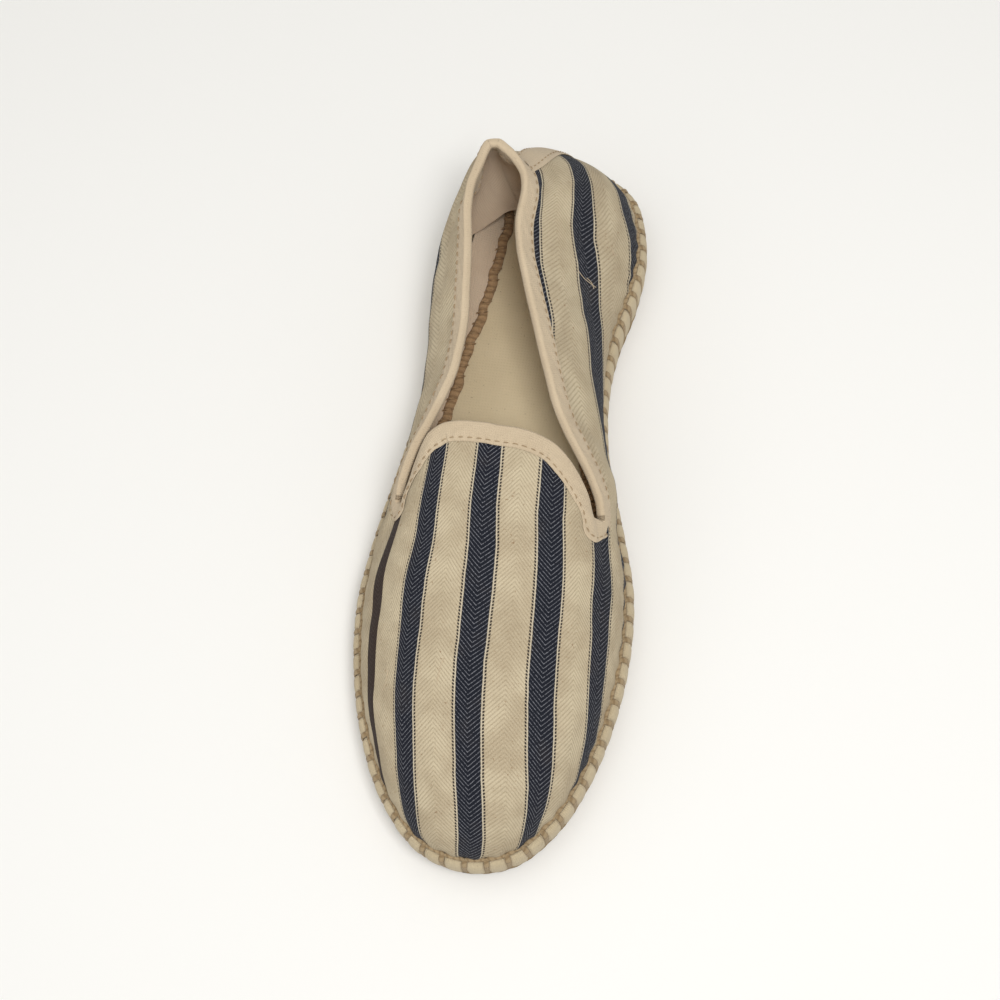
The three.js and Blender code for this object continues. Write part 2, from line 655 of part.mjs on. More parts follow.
function makeBackStrip() {
  const lanes = 4;
  const levels = 8;
  const halfRows = rowsFor(HEEL_SEAM, 1, BACK_STRIP_WIDTH / 2);
  const loops = [];
  for (let i = 0; i <= levels; i += 1) {
    const lane = (j, offset) => {
      const side = 1 - 2 * j / lanes;
      const highest = tapeFoot(HEEL_SEAM + halfRows * side, TAPE_WIDTH + 2 * CLEARANCE);
      const h = STRIP_FOOT + (highest - STRIP_FOOT) * i / levels;
      const reach = rowsFor(HEEL_SEAM, h, BACK_STRIP_WIDTH / 2);
      return upperPoint(HEEL_SEAM + reach * side, h, offset);
    };
    const loop = [];
    for (let j = 0; j <= lanes; j += 1) {
      loop.push(lane(j, STRIP_OFF + TAPE_THICKNESS));
    }
    for (let j = lanes; j >= 0; j -= 1) {
      loop.push(lane(j, STRIP_OFF));
    }
    loops.push(loop);
  }
  return bodyFromLoops(loops, false);
}

const jute = new THREE.MeshStandardMaterial({ color: 0xb39a76, roughness: 0.95, metalness: 0 });
const creamTape = new THREE.MeshStandardMaterial({ color: 0xd8c9ac, roughness: 0.9, metalness: 0 });
const canvas = new THREE.MeshStandardMaterial({ color: 0xcdbd9c, roughness: 0.9, metalness: 0 });
const insoleCanvas = new THREE.MeshStandardMaterial({ color: 0xcabb9b, roughness: 0.92, metalness: 0 });

function piece(name, geometry, material) {
  const mesh = new THREE.Mesh(geometry, material);
  mesh.name = name;
  return mesh;
}

const espadrille = new THREE.Group();
espadrille.add(
  piece('sole', makeSole(), jute),
  piece('rand', makeRand(), creamTape),
  piece('insole', makeInsole(), insoleCanvas),
  piece('upper', upperShell(0), canvas),
  piece('throat_binding', makeThroatBinding(), creamTape),
  piece('collar_binding', makeCollarBinding(), creamTape),
  piece('back_strip', makeBackStrip(), creamTape),
);

export default espadrille;
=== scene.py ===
# %% [markdown]
# A worn espadrille, right shoe. A hollow upper of striped herringbone canvas is stitched to a flat
# plaited jute sole with a blanket stitch over a soft tape. The CAD part gives the solids and their
# sizes. This scene gives them their cloth, thread and wear, each piece built in the part's own frame.

# %% Load the frame
import math

import bpy
import numpy as np
from mathutils import Matrix, Vector


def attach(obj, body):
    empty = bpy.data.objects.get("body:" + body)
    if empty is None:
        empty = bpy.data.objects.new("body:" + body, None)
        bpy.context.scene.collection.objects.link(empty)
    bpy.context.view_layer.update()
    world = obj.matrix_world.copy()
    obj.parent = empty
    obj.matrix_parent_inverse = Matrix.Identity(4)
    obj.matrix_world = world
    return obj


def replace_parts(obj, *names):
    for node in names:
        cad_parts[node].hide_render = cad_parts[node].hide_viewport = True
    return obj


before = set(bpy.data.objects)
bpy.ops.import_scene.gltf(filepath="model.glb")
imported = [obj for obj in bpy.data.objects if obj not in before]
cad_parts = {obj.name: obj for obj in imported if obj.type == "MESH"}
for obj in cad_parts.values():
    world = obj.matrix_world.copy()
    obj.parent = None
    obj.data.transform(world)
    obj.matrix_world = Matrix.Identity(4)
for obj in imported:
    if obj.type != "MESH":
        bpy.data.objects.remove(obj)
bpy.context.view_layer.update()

# %% [markdown]
# The sizes are those of the CAD part, in millimetres. The toe points to -Y and the inner (big toe) side
# to +X, and the origin lies on the floor, midway along the sole. Repeating them here keeps the cloth on
# the same surface as the solids, which a designer would do by sharing one sheet of sizes.

# %% Sizes
MM = 0.001                     # metres in a millimetre
LENGTH = 264                   # sole, toe tip to heel back
BALL_WIDTH = 97.5              # sole across the ball
SOLE_HEIGHT = 20               # jute sole, floor to its top
HEEL_HEIGHT = 76               # floor to the highest point of the collar
INSTEP_HEIGHT = 63.5           # floor to the throat edge
TOE_SPRING = 3.5               # lift of the toe tip off the floor
WALL = 1.6                     # canvas with its lining
RAND_THICKNESS = 3             # padded tape round the sole's edge
RAND_BOTTOM = 6                # floor to the tape's lower edge
INSOLE_THICKNESS = 2.2
CLEARANCE = 0.3                # gap between solids that touch
TAPE_WIDTH = 6.5               # visible width of the bindings
TAPE_THICKNESS = 0.8
BACK_STRIP_WIDTH = 11
FEATHER_INSET = RAND_THICKNESS + CLEARANCE   # the upper stands on this line, inside the sole's edge
FOOT_HEIGHT = SOLE_HEIGHT + CLEARANCE
INSTEP_RISE = INSTEP_HEIGHT - FOOT_HEIGHT
HEEL_RISE = HEEL_HEIGHT - FOOT_HEIGHT
SPRING_START = -LENGTH / 3     # in front of this the sole leaves the floor
TOE_ROUND = 26                 # length over which the vamp's nose rounds down
print(f"sole {LENGTH} by {BALL_WIDTH} mm, collar {HEEL_HEIGHT} mm high")

# %% [markdown]
# Smooth curves are drawn through short tables. Between two rows the curve is a cubic whose slopes never
# overshoot, as a flexible rule bent round pins. A loop's table starts again after its last row.

# %% Curves through tables
def column(rows, place):
    return np.array([row[place] for row in rows], float)


def row_slope(before, after):
    """Slope at a row from the steps before and after it, level where they turn."""
    level = before * after <= 0
    return np.where(level, 0, 2 * before * after / np.where(level, 1, before + after))


def hermite(start, step, slope_in, slope_out, k):
    """Cubic over one step, with a slope at each end; k runs from 0 to 1."""
    k2, k3 = k * k, k * k * k
    return start + step * (3 * k2 - 2 * k3) + slope_in * (k3 - 2 * k2 + k) + slope_out * (k3 - k2)


def loop_column(rows, place, turn=0):
    """Curve through a column whose rows run round a loop; turn is what one lap adds."""
    values = column(rows, place)

    def value(i):
        return values[i % len(values)] + turn * (i // len(values))

    def at(t):
        i = np.floor(t).astype(int)
        step = value(i + 1) - value(i)
        slope_in = row_slope(value(i) - value(i - 1), step)
        slope_out = row_slope(step, value(i + 2) - value(i + 1))
        return hermite(value(i), step, slope_in, slope_out, t - i)

    return at


def placed_curve(places, values):
    """Curve through values at rising places, level at both ends."""
    places, values = np.asarray(places, float), np.asarray(values, float)
    slopes = np.zeros(len(places))
    rates = np.diff(values) / np.diff(places)
    slopes[1:-1] = row_slope(rates[:-1], rates[1:])

    def at(x):
        i = np.clip(np.searchsorted(places, x, side="right") - 1, 0, len(places) - 2)
        width = places[i + 1] - places[i]
        k = np.clip((x - places[i]) / width, 0, 1)
        step = values[i + 1] - values[i]
        return hermite(values[i], step, slopes[i] * width, slopes[i + 1] * width, k)

    return at


def smoothstep(start, end, x):
    k = np.clip((x - start) / (end - start), 0, 1)
    return k * k * (3 - 2 * k)


def unit(vectors):
    return vectors / np.maximum(np.linalg.norm(vectors, axis=-1, keepdims=True), 1e-9)


def way_along(path):
    """Length travelled to each point of a path."""
    return np.concatenate([[0], np.cumsum(np.linalg.norm(np.diff(path, axis=0), axis=1))])


# %% [markdown]
# The sole's outline is a loop of 28 places. On the bench it would be traced round the last. Lines at a
# distance inside it carry everything that follows the edge: the tape, the twine and the upper's foot.

# %% Outline of the sole
# across: share of BALL_WIDTH, along: share of LENGTH
SOLE_OUTLINE = [
    (0.075, -0.5),      # toe tip
    (0.243, -0.482),    # toe, inner round
    (0.372, -0.431),    # big toe
    (0.455, -0.367),    # big toe side
    (0.513, -0.284),    # inner ball, front
    (0.536, -0.195),    # inner ball
    (0.517, -0.108),    # inner ball, back
    (0.447, -0.022),    # inner waist, front
    (0.36, 0.075),      # inner waist
    (0.324, 0.165),     # inner arch
    (0.335, 0.242),     # inner arch, back
    (0.378, 0.318),     # inner heel, front
    (0.386, 0.385),     # inner heel
    (0.319, 0.459),     # inner heel corner
    (0.19, 0.491),      # heel back, inner
    (0.04, 0.5),        # heel back
    (-0.115, 0.489),    # heel back, outer
    (-0.245, 0.452),    # outer heel corner
    (-0.312, 0.382),    # outer heel
    (-0.326, 0.29),     # outer heel, front
    (-0.352, 0.165),    # outer waist
    (-0.397, 0.04),     # outer waist, front
    (-0.445, -0.08),    # outer ball, back
    (-0.464, -0.175),   # outer ball
    (-0.436, -0.257),   # outer ball, front
    (-0.366, -0.348),   # small toe side
    (-0.247, -0.431),   # small toe
    (-0.095, -0.485),   # toe, outer round
]
STRETCH_STEPS = 40             # points on the curve from one place to the next
OUTLINE_STEPS = 720            # points on a line drawn inside the outline


def loop_through(points, steps):
    """Closed centripetal curve through plan points."""
    found = []
    for i in range(len(points)):
        p0, p1, p2, p3 = (points[(i + k) % len(points)] for k in (-1, 0, 1, 2))
        d0, d1, d2 = (math.sqrt(np.linalg.norm(b - a)) for a, b in ((p0, p1), (p1, p2), (p2, p3)))
        slope_in = ((p1 - p0) / d0 - (p2 - p0) / (d0 + d1) + (p2 - p1) / d1) * d1
        slope_out = ((p2 - p1) / d1 - (p3 - p1) / (d1 + d2) + (p3 - p2) / d2) * d1
        k = np.linspace(0, 1, steps, endpoint=False)[:, None]
        found.append(hermite(p1, p2 - p1, slope_in, slope_out, k))
    return np.concatenate(found)


class PlanLoop:
    """A closed line in plan, measured by shares of its length from the toe tip."""

    def __init__(self, points):
        self.points = np.vstack([points, points[:1]])
        self.travelled = way_along(self.points)
        self.length = self.travelled[-1]

    def at(self, share):
        travelled = (np.asarray(share, float) % 1) * self.length
        return np.stack([np.interp(travelled, self.travelled, self.points[:, k]) for k in (0, 1)], -1)

    def outward(self, share):
        step = 1 / OUTLINE_STEPS
        run = unit(self.at(share + step) - self.at(share - step))
        return np.stack([run[..., 1], -run[..., 0]], -1)

    def inset(self, distance):
        share = np.arange(OUTLINE_STEPS) / OUTLINE_STEPS
        return PlanLoop(self.at(share) - self.outward(share) * distance)


outline = PlanLoop(loop_through(np.array(SOLE_OUTLINE) * (BALL_WIDTH, LENGTH), STRETCH_STEPS))
feather = outline.inset(FEATHER_INSET)
print(f"outline {outline.length:.1f} mm round, feather line {feather.length:.1f} mm")


def toe_spring(y):
    """How far the sole stands off the floor."""
    k = np.clip((y - SPRING_START) / (-LENGTH / 2 - SPRING_START), 0, 1)
    return TOE_SPRING * k * k


def lifted(points):
    """Points of a flat-soled shoe, raised with the toe spring."""
    points = np.array(points, float)
    points[..., 2] += toe_spring(points[..., 1])
    return points


# %% [markdown]
# The upper is measured by ribs, like a boat's hull. Each row of the table is a rib from the sole's edge
# to the free top edge, and the vamp's ribs lie on a dome that is drawn by its own cross sections. A
# shoemaker gets this shape from the last, then wear lets the collar go slack and the outer side stand up.

# %% Form of the upper
# foot: share of the feather line, across and along: top end as shares of BALL_WIDTH and LENGTH,
# lift: its height as a share of the collar's height there, belly: outward swell as a share of
# BALL_WIDTH, dome: 1 on the vamp's dome, 0 on the quarters
FOOT, ACROSS, ALONG, LIFT, BELLY, DOME = range(6)
RIBS = [
    (0, 0, 0.039, 1, 0, 1),                      # throat centre
    (0.014, 0.046, 0.039, 1, 0, 1),              # throat, inner 1
    (0.033, 0.092, 0.038, 0.98, 0, 1),           # throat, inner 2
    (0.058, 0.138, 0.035, 0.95, 0, 1),           # throat, inner 3
    (0.085, 0.185, 0.029, 0.91, 0, 1),           # throat, inner 4
    (0.115, 0.241, 0.013, 0.85, 0, 1),           # inner throat corner
    (0.149, 0.306, -0.017, 0.73, 0, 1),          # inner notch front 1
    (0.18, 0.351, -0.047, 0.6, 0, 1),            # inner notch front 2
    (0.208, 0.383, -0.045, 0.51, 0.021, 0.7),    # inner notch
    (0.234, 0.369, -0.024, 0.57, 0.031, 0.35),   # inner notch rear 2
    (0.253, 0.326, 0.005, 0.69, 0.05, 0.1),      # inner notch rear 1
    (0.268, 0.279, 0.029, 0.79, 0.055, 0),       # inner collar front
    (0.284, 0.225, 0.055, 0.88, 0.06, 0),        # inner collar 1
    (0.303, 0.174, 0.085, 0.92, 0.064, 0),       # inner collar 2
    (0.32, 0.129, 0.125, 0.94, 0.066, 0),        # inner collar 3
    (0.345, 0.069, 0.183, 0.95, 0.062, 0),       # inner collar 4
    (0.366, 0.014, 0.232, 0.96, 0.052, 0),       # inner collar 5
    (0.386, -0.037, 0.277, 0.96, 0.041, 0),      # inner collar 6
    (0.41, -0.055, 0.319, 0.96, 0.046, 0),       # inner collar 7
    (0.439, -0.051, 0.351, 0.96, 0.062, 0),      # inner collar back
    (0.47, -0.057, 0.374, 0.96, 0.072, 0),       # beside the heel seam
    (0.499, -0.085, 0.395, 0.97, 0.06, 0),       # heel seam
    (0.522, -0.123, 0.409, 0.99, 0.03, 0),       # behind the ear
    (0.541, -0.164, 0.419, 1, 0.035, 0),         # ear, back
    (0.561, -0.205, 0.415, 1, 0.052, 0),         # ear
    (0.58, -0.234, 0.39, 1, 0.06, 0),            # ear, front
    (0.595, -0.248, 0.358, 1, 0.075, 0),         # outer collar back
    (0.61, -0.243, 0.325, 0.99, 0.09, 0),        # outer collar 7
    (0.627, -0.224, 0.28, 0.98, 0.097, 0),       # outer collar 6
    (0.649, -0.208, 0.227, 0.98, 0.087, 0),      # outer collar 5
    (0.672, -0.199, 0.17, 0.97, 0.072, 0),       # outer collar 4
    (0.695, -0.205, 0.117, 0.95, 0.054, 0),      # outer collar 3
    (0.711, -0.229, 0.08, 0.92, 0.041, 0),       # outer collar 2
    (0.729, -0.267, 0.042, 0.85, 0.031, 0),      # outer collar front
    (0.749, -0.314, 0.006, 0.73, 0.021, 0.1),    # outer notch rear 1
    (0.769, -0.347, -0.034, 0.59, 0.021, 0.35),  # outer notch rear 2
    (0.793, -0.351, -0.055, 0.51, 0.015, 0.7),   # outer notch
    (0.821, -0.32, -0.06, 0.59, 0, 1),           # outer notch front 2
    (0.852, -0.283, -0.011, 0.76, 0, 1),         # outer notch front 1
    (0.882, -0.242, 0.023, 0.9, 0, 1),           # outer throat corner
    (0.911, -0.191, 0.036, 0.95, 0, 1),          # throat, outer 4
    (0.938, -0.144, 0.039, 0.98, 0, 1),          # throat, outer 3
    (0.961, -0.097, 0.04, 0.99, 0, 1),           # throat, outer 2
    (0.982, -0.051, 0.04, 1, 0, 1),              # throat, outer 1
]
INNER_NOTCH, HEEL_SEAM, OUTER_NOTCH = 8, 21, 36   # rows of the table
LAP = len(RIBS)
# along: share of LENGTH, crest: share of INSTEP_RISE, crown: exponent of the cross section,
# shift: place of the crest as a share of BALL_WIDTH
VAMP_DOME = [
    (-0.5, 0.47, 2.1, 0.08),
    (-0.41, 0.55, 2.2, 0.078),
    (-0.36, 0.63, 2.3, 0.072),
    (-0.285, 0.71, 2.4, 0.06),
    (-0.19, 0.79, 2.4, 0.045),
    (-0.095, 0.885, 2.35, 0.03),
    (0.04, 1, 2.3, 0.01),
]
THROAT_ALONG, COLLAR_BACK_ALONG = 0.04, 0.4       # the collar rises from here to here
DOME_EASE = 1.8                # crowds a vamp rib's rows towards its steep foot
BELLY_LOW, BELLY_HIGH = 0.8, 1.2                  # the belly lies below a rib's middle
BELLY_PEAK = BELLY_LOW / (BELLY_LOW + BELLY_HIGH)
BELLY_SCALE = 1 / (BELLY_PEAK ** BELLY_LOW * (1 - BELLY_PEAK) ** BELLY_HIGH)

foot_at = loop_column(RIBS, FOOT, turn=1)
across_at, along_at, lift_at, belly_at, dome_at = (
    loop_column(RIBS, place) for place in (ACROSS, ALONG, LIFT, BELLY, DOME))
crest_at, crown_at, shift_at = (
    placed_curve(column(VAMP_DOME, 0), column(VAMP_DOME, place)) for place in (1, 2, 3))

TOE_Y = feather.points[:, 1].min()
heel_back = int(np.argmax(feather.points[:, 1]))
inner_side, outer_side = feather.points[:heel_back + 1], feather.points[heel_back:]


def feather_sides(y):
    """Where a line across the shoe meets the feather line, outer and inner."""
    inner = np.interp(y, inner_side[:, 1], inner_side[:, 0])
    outer = np.interp(y, outer_side[::-1, 1], outer_side[::-1, 0])
    return outer, inner


def dome_middle(y):
    """Where the crest of the dome's cross section lies."""
    outer, inner = feather_sides(y)
    return np.clip(shift_at(y / LENGTH) * BALL_WIDTH, outer, inner)


def dome_out(x, y):
    """Share of the way from the crest to the feather line, negative on the outer side."""
    outer, inner = feather_sides(y)
    middle = dome_middle(y)
    edge = np.where(x > middle, inner, outer)
    half = np.maximum(np.abs(edge - middle), 1e-6)
    return np.sign(x - middle) * np.clip(np.abs(x - middle) / half, 0, 1)


def dome_height(x, y):
    from_tip = np.clip((y - TOE_Y) / TOE_ROUND, 0, 1)
    nose = np.sqrt(1 - (1 - from_tip) ** 2)
    side = np.sqrt(1 - np.abs(dome_out(x, y)) ** crown_at(y / LENGTH))
    return INSTEP_RISE * crest_at(y / LENGTH) * nose * side


def collar_rise(along):
    k = np.clip((along - THROAT_ALONG) / (COLLAR_BACK_ALONG - THROAT_ALONG), 0, 1)
    return INSTEP_RISE + (HEEL_RISE - INSTEP_RISE) * k


def upper_face(t, h):
    """Point of the upper's outer face: t counts ribs, h runs from the sole (0) to the top edge (1)."""
    t, h = np.broadcast_arrays(np.asarray(t, float), np.asarray(h, float))
    share = foot_at(t)
    foot = np.concatenate([feather.at(share), np.full(t.shape + (1,), FOOT_HEIGHT)], -1)
    along = along_at(t)
    top = np.stack([across_at(t) * BALL_WIDTH, along * LENGTH,
                    FOOT_HEIGHT + lift_at(t) * collar_rise(along)], -1)
    chord = top - foot
    lean = unit(chord)
    outward = np.concatenate([feather.outward(share), np.zeros(t.shape + (1,))], -1)
    swell = unit(outward - lean * np.sum(outward * lean, -1, keepdims=True))
    bulge = belly_at(t) * BALL_WIDTH * BELLY_SCALE * h ** BELLY_LOW * (1 - h) ** BELLY_HIGH
    wall = foot + chord * h[..., None] + swell * bulge[..., None]
    crown = foot + chord * h[..., None] ** DOME_EASE
    miss = top[..., 2] - FOOT_HEIGHT - dome_height(top[..., 0], top[..., 1])
    crown[..., 2] = FOOT_HEIGHT + dome_height(crown[..., 0], crown[..., 1]) + miss * h
    dome = dome_at(t)[..., None]
    return lifted(wall * (1 - dome) + crown * dome)


PROBE = 0.02                   # step of a slope, as a share of a rib or of the way to the next one
PROBE_RIBS = 0.1               # wider step round the upper, which evens its normals
FOOT_STANDS = 0.15             # share of a rib over which the wall turns level with the sole


def upper_normal(t, h):
    """Outward normal of the upper's face."""
    t, h = np.broadcast_arrays(np.asarray(t, float), np.asarray(h, float))
    up = upper_face(t, np.minimum(1, h + PROBE)) - upper_face(t, np.maximum(0, h - PROBE))
    way_round = upper_face(t + PROBE_RIBS, h) - upper_face(t - PROBE_RIBS, h)
    normal = unit(np.cross(way_round, up))
    normal[..., 2] *= smoothstep(0, FOOT_STANDS, h)
    return unit(normal)


top_edge = upper_face(np.arange(LAP), 1.0)
print(f"upper: {LAP} ribs, top edge {top_edge[:, 2].min():.1f} to {top_edge[:, 2].max():.1f} mm high")

# %% [markdown]
# Worn canvas isn't smooth. Each crease of the photographed shoe is drawn here as a soft trough
# or ridge between two points, and the stitches at the sole pull the cloth into small scallops. On the
# real shoe these come from walking, so most of them lie across the ball and below the ankle.

# %% Creases
# ends of the line in mm, half width and depth in mm (a ridge is above 0)
CREASES = [
    ((-12, 108, 66), (-26, 97, 66), 6.5, -4.6),
    ((-17, 110, 78), (-26, 100, 77), 5, -1.4),
    ((-3, 72, 75), (-5, 92, 76), 10, 1.9),
    ((14, 70, 70), (16, 58, 66), 3.5, -1.3),
    ((10, 80, 68), (17, 84, 60), 2.5, 0.7),
    ((12, 74, 66), (20, 74, 58), 2.5, -0.6),
    ((-22, -28, 54), (-34, -52, 42), 5, -0.9),
    ((24, -22, 58), (40, -44, 44), 6, -0.8),
    ((-14, -60, 52), (16, -66, 53), 9, -0.5),
    ((-8, -100, 46), (22, -104, 46), 8, 0.5),
    ((-30, -84, 38), (-22, -104, 36), 5, 0.7),
    ((36, -78, 40), (30, -98, 38), 5, 0.6),
    ((14, 84, 58), (24, 92, 44), 3, -0.7),
    ((18, 78, 54), (28, 84, 40), 3, 0.6),
    ((20, 62, 50), (30, 70, 34), 4, -0.7),
    ((12, 100, 62), (22, 108, 48), 4, 0.6),
    ((-30, 84, 62), (-36, 74, 44), 4, -0.7),
    ((-28, 60, 60), (-36, 52, 42), 5, 0.6),
    ((-30, 34, 52), (-36, 30, 36), 5, -0.6),
    ((26, 20, 48), (36, 14, 34), 5, -0.7),
]
# slow unevenness of the cloth: direction and pace of a wave, its phase and its height in mm
SWELLS = [
    ((0.11, 0.05, 0.07), 0.3, 0.22),
    ((-0.06, 0.13, 0.05), 1.7, 0.2),
    ((0.17, -0.09, 0.12), 4.1, 0.12),
    ((-0.2, -0.16, 0.1), 2.6, 0.09),
    ((0.05, 0.31, -0.2), 5.2, 0.05),
]
CREASE_START = 8               # mm up the cloth over which the creases set in
BLOCKS = 88                    # stitches round the sole
STITCH_SPREAD = 0.1            # they sit a little wider apart round the toe than round the heel
SCALLOP_DEPTH = 0.45
SCALLOP_REACH = 4.5            # mm up the cloth
print(f"{len(CREASES)} creases, {BLOCKS} stitches")


def stitch_share(lap):
    """Share of the outline at which a stitch, counted as a share of a lap, sits."""
    return lap + STITCH_SPREAD * np.sin(2 * math.pi * lap) / (2 * math.pi)


LAPS = np.linspace(0, 1, 2001)


def lap_of(share):
    """The lap at a share of the outline, the other way round."""
    return np.interp(share % 1, stitch_share(LAPS), LAPS)


def line_distance(points, start, end):
    """Distance of points from the line between two ends."""
    start, end = np.array(start, float), np.array(end, float)
    run = end - start
    k = np.clip((points - start) @ run / (run @ run), 0, 1)
    return np.linalg.norm(points - start - k[..., None] * run, axis=-1)


def relief(points):
    """How far the worn cloth stands off its plain form, in mm."""
    height = np.zeros(points.shape[:-1])
    for start, end, width, depth in CREASES:
        height += depth * np.exp(-(line_distance(points, start, end) / width) ** 2)
    for direction, phase, size in SWELLS:
        height += size * np.sin(points @ np.array(direction) + phase)
    return height


def above_sole(points):
    """Height of points over the line where the upper stands."""
    return points[..., 2] - FOOT_HEIGHT - toe_spring(points[..., 1])


def cloth(t, h, offset=0):
    """Point of the worn upper, a distance off its outer face."""
    t, h = np.broadcast_arrays(np.asarray(t, float), np.asarray(h, float))
    face = upper_face(t, h)
    up = above_sole(face)
    stitch = np.cos(2 * math.pi * BLOCKS * lap_of(foot_at(t)))
    scallop = -SCALLOP_DEPTH * stitch * np.exp(-up / SCALLOP_REACH)
    height = offset + relief(face) * smoothstep(0, CREASE_START, up) + scallop
    return face + upper_normal(t, h) * height[..., None]


# %% [markdown]
# Meshes are built from grids of points. Each point also carries its place on the flat cloth in mm, so
# that a weave can be drawn along the thread and not along the world's axes.

# %% Meshes from grids
def grid_faces(rows, lanes, closed=False, tube=False):
    """Four-sided faces of a grid of points; closed joins its last row to its first, tube its lanes."""
    i = np.arange(rows if closed else rows - 1)[:, None]
    j = np.arange(lanes if tube else lanes - 1)[None, :]
    here, ahead = i * lanes, (i + 1) % rows * lanes
    beside = (j + 1) % lanes
    return np.stack([here + j, ahead + j, ahead + beside, here + beside], -1).reshape(-1, 4)


def make_mesh(name, points, faces, materials, weave=None, finish=None):
    """Links a mesh whose points are in mm; weave is each point's place on the flat cloth in mm."""
    mesh = bpy.data.meshes.new(name)
    points = np.asarray(points, float).reshape(-1, 3)
    mesh.from_pydata((points * MM).tolist(), [], np.asarray(faces).tolist())
    if weave is not None:
        places = np.zeros((len(points), 3))
        weave = np.asarray(weave, float).reshape(len(points), -1)
        places[:, :weave.shape[1]] = weave
        mesh.attributes.new("weave", "FLOAT_VECTOR", "POINT").data.foreach_set("vector", places.ravel())
    for material in materials:
        mesh.materials.append(material)
    if finish is not None:
        mesh.polygons.foreach_set("material_index", np.asarray(finish, int))
    mesh.shade_smooth()
    mesh.update()
    piece = bpy.data.objects.new(name, mesh)
    bpy.context.scene.collection.objects.link(piece)
    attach(piece, "root")
    print(f"{name}: {len(points)} points")
    return piece


THREAD_TIP = 0.35              # a thread's radius at its ends, as a share


class Bundle:
    """Many small bodies that become one mesh."""

    def __init__(self):
        self.points, self.faces, self.weave, self.count = [], [], [], 0

    def add(self, points, faces, weave):
        self.points.append(np.reshape(points, (-1, 3)))
        self.faces.extend((np.asarray(faces) + self.count).tolist())
        self.weave.append(np.reshape(weave, (-1, 2)))
        self.count += len(self.points[-1])

    def thread(self, path, radius, sides=6, closed=False, flat=1.0, side=None):
        """A round or flattened thread along a path; its ends taper shut. Side is its broad direction."""
        path = np.asarray(path, float)
        ahead, behind = np.roll(path, -1, 0), np.roll(path, 1, 0)
        if not closed:
            ahead[-1], behind[0] = path[-1], path[0]
        run = unit(ahead - behind)
        side = unit(np.cross(run, (0.3, 0.2, 1.0)) if side is None else side)
        up = np.cross(side, run)
        size = np.full((len(path), 1, 1), float(radius))
        if not closed:
            size[[0, -1]] *= THREAD_TIP
        angle = np.linspace(0, 2 * math.pi, sides, endpoint=False)
        cos, sin = np.cos(angle)[None, :, None], np.sin(angle)[None, :, None]
        rings = path[:, None] + size * (cos * side[:, None] + flat * sin * up[:, None])
        faces = grid_faces(len(path), sides, closed, tube=True)[:, ::-1]
        weave = np.stack(np.broadcast_arrays(way_along(path)[:, None], angle / (2 * math.pi)), -1)
        self.add(rings, faces, weave)

    def build(self, name, material):
        return make_mesh(name, np.concatenate(self.points), self.faces, [material],
                         np.concatenate(self.weave))


# %% [markdown]
# Finishes are drawn by nodes. A small helper keeps them short: each call adds one node and hands back
# its output, so that a weave reads like a formula.

# %% Node helper
def paint(code):
    """Linear colour of a hex code as seen on a screen."""
    screen = np.array([int(code[k:k + 2], 16) for k in (0, 2, 4)]) / 255
    linear = np.where(screen <= 0.04045, screen / 12.92, ((screen + 0.055) / 1.055) ** 2.4)
    return (*linear, 1.0)


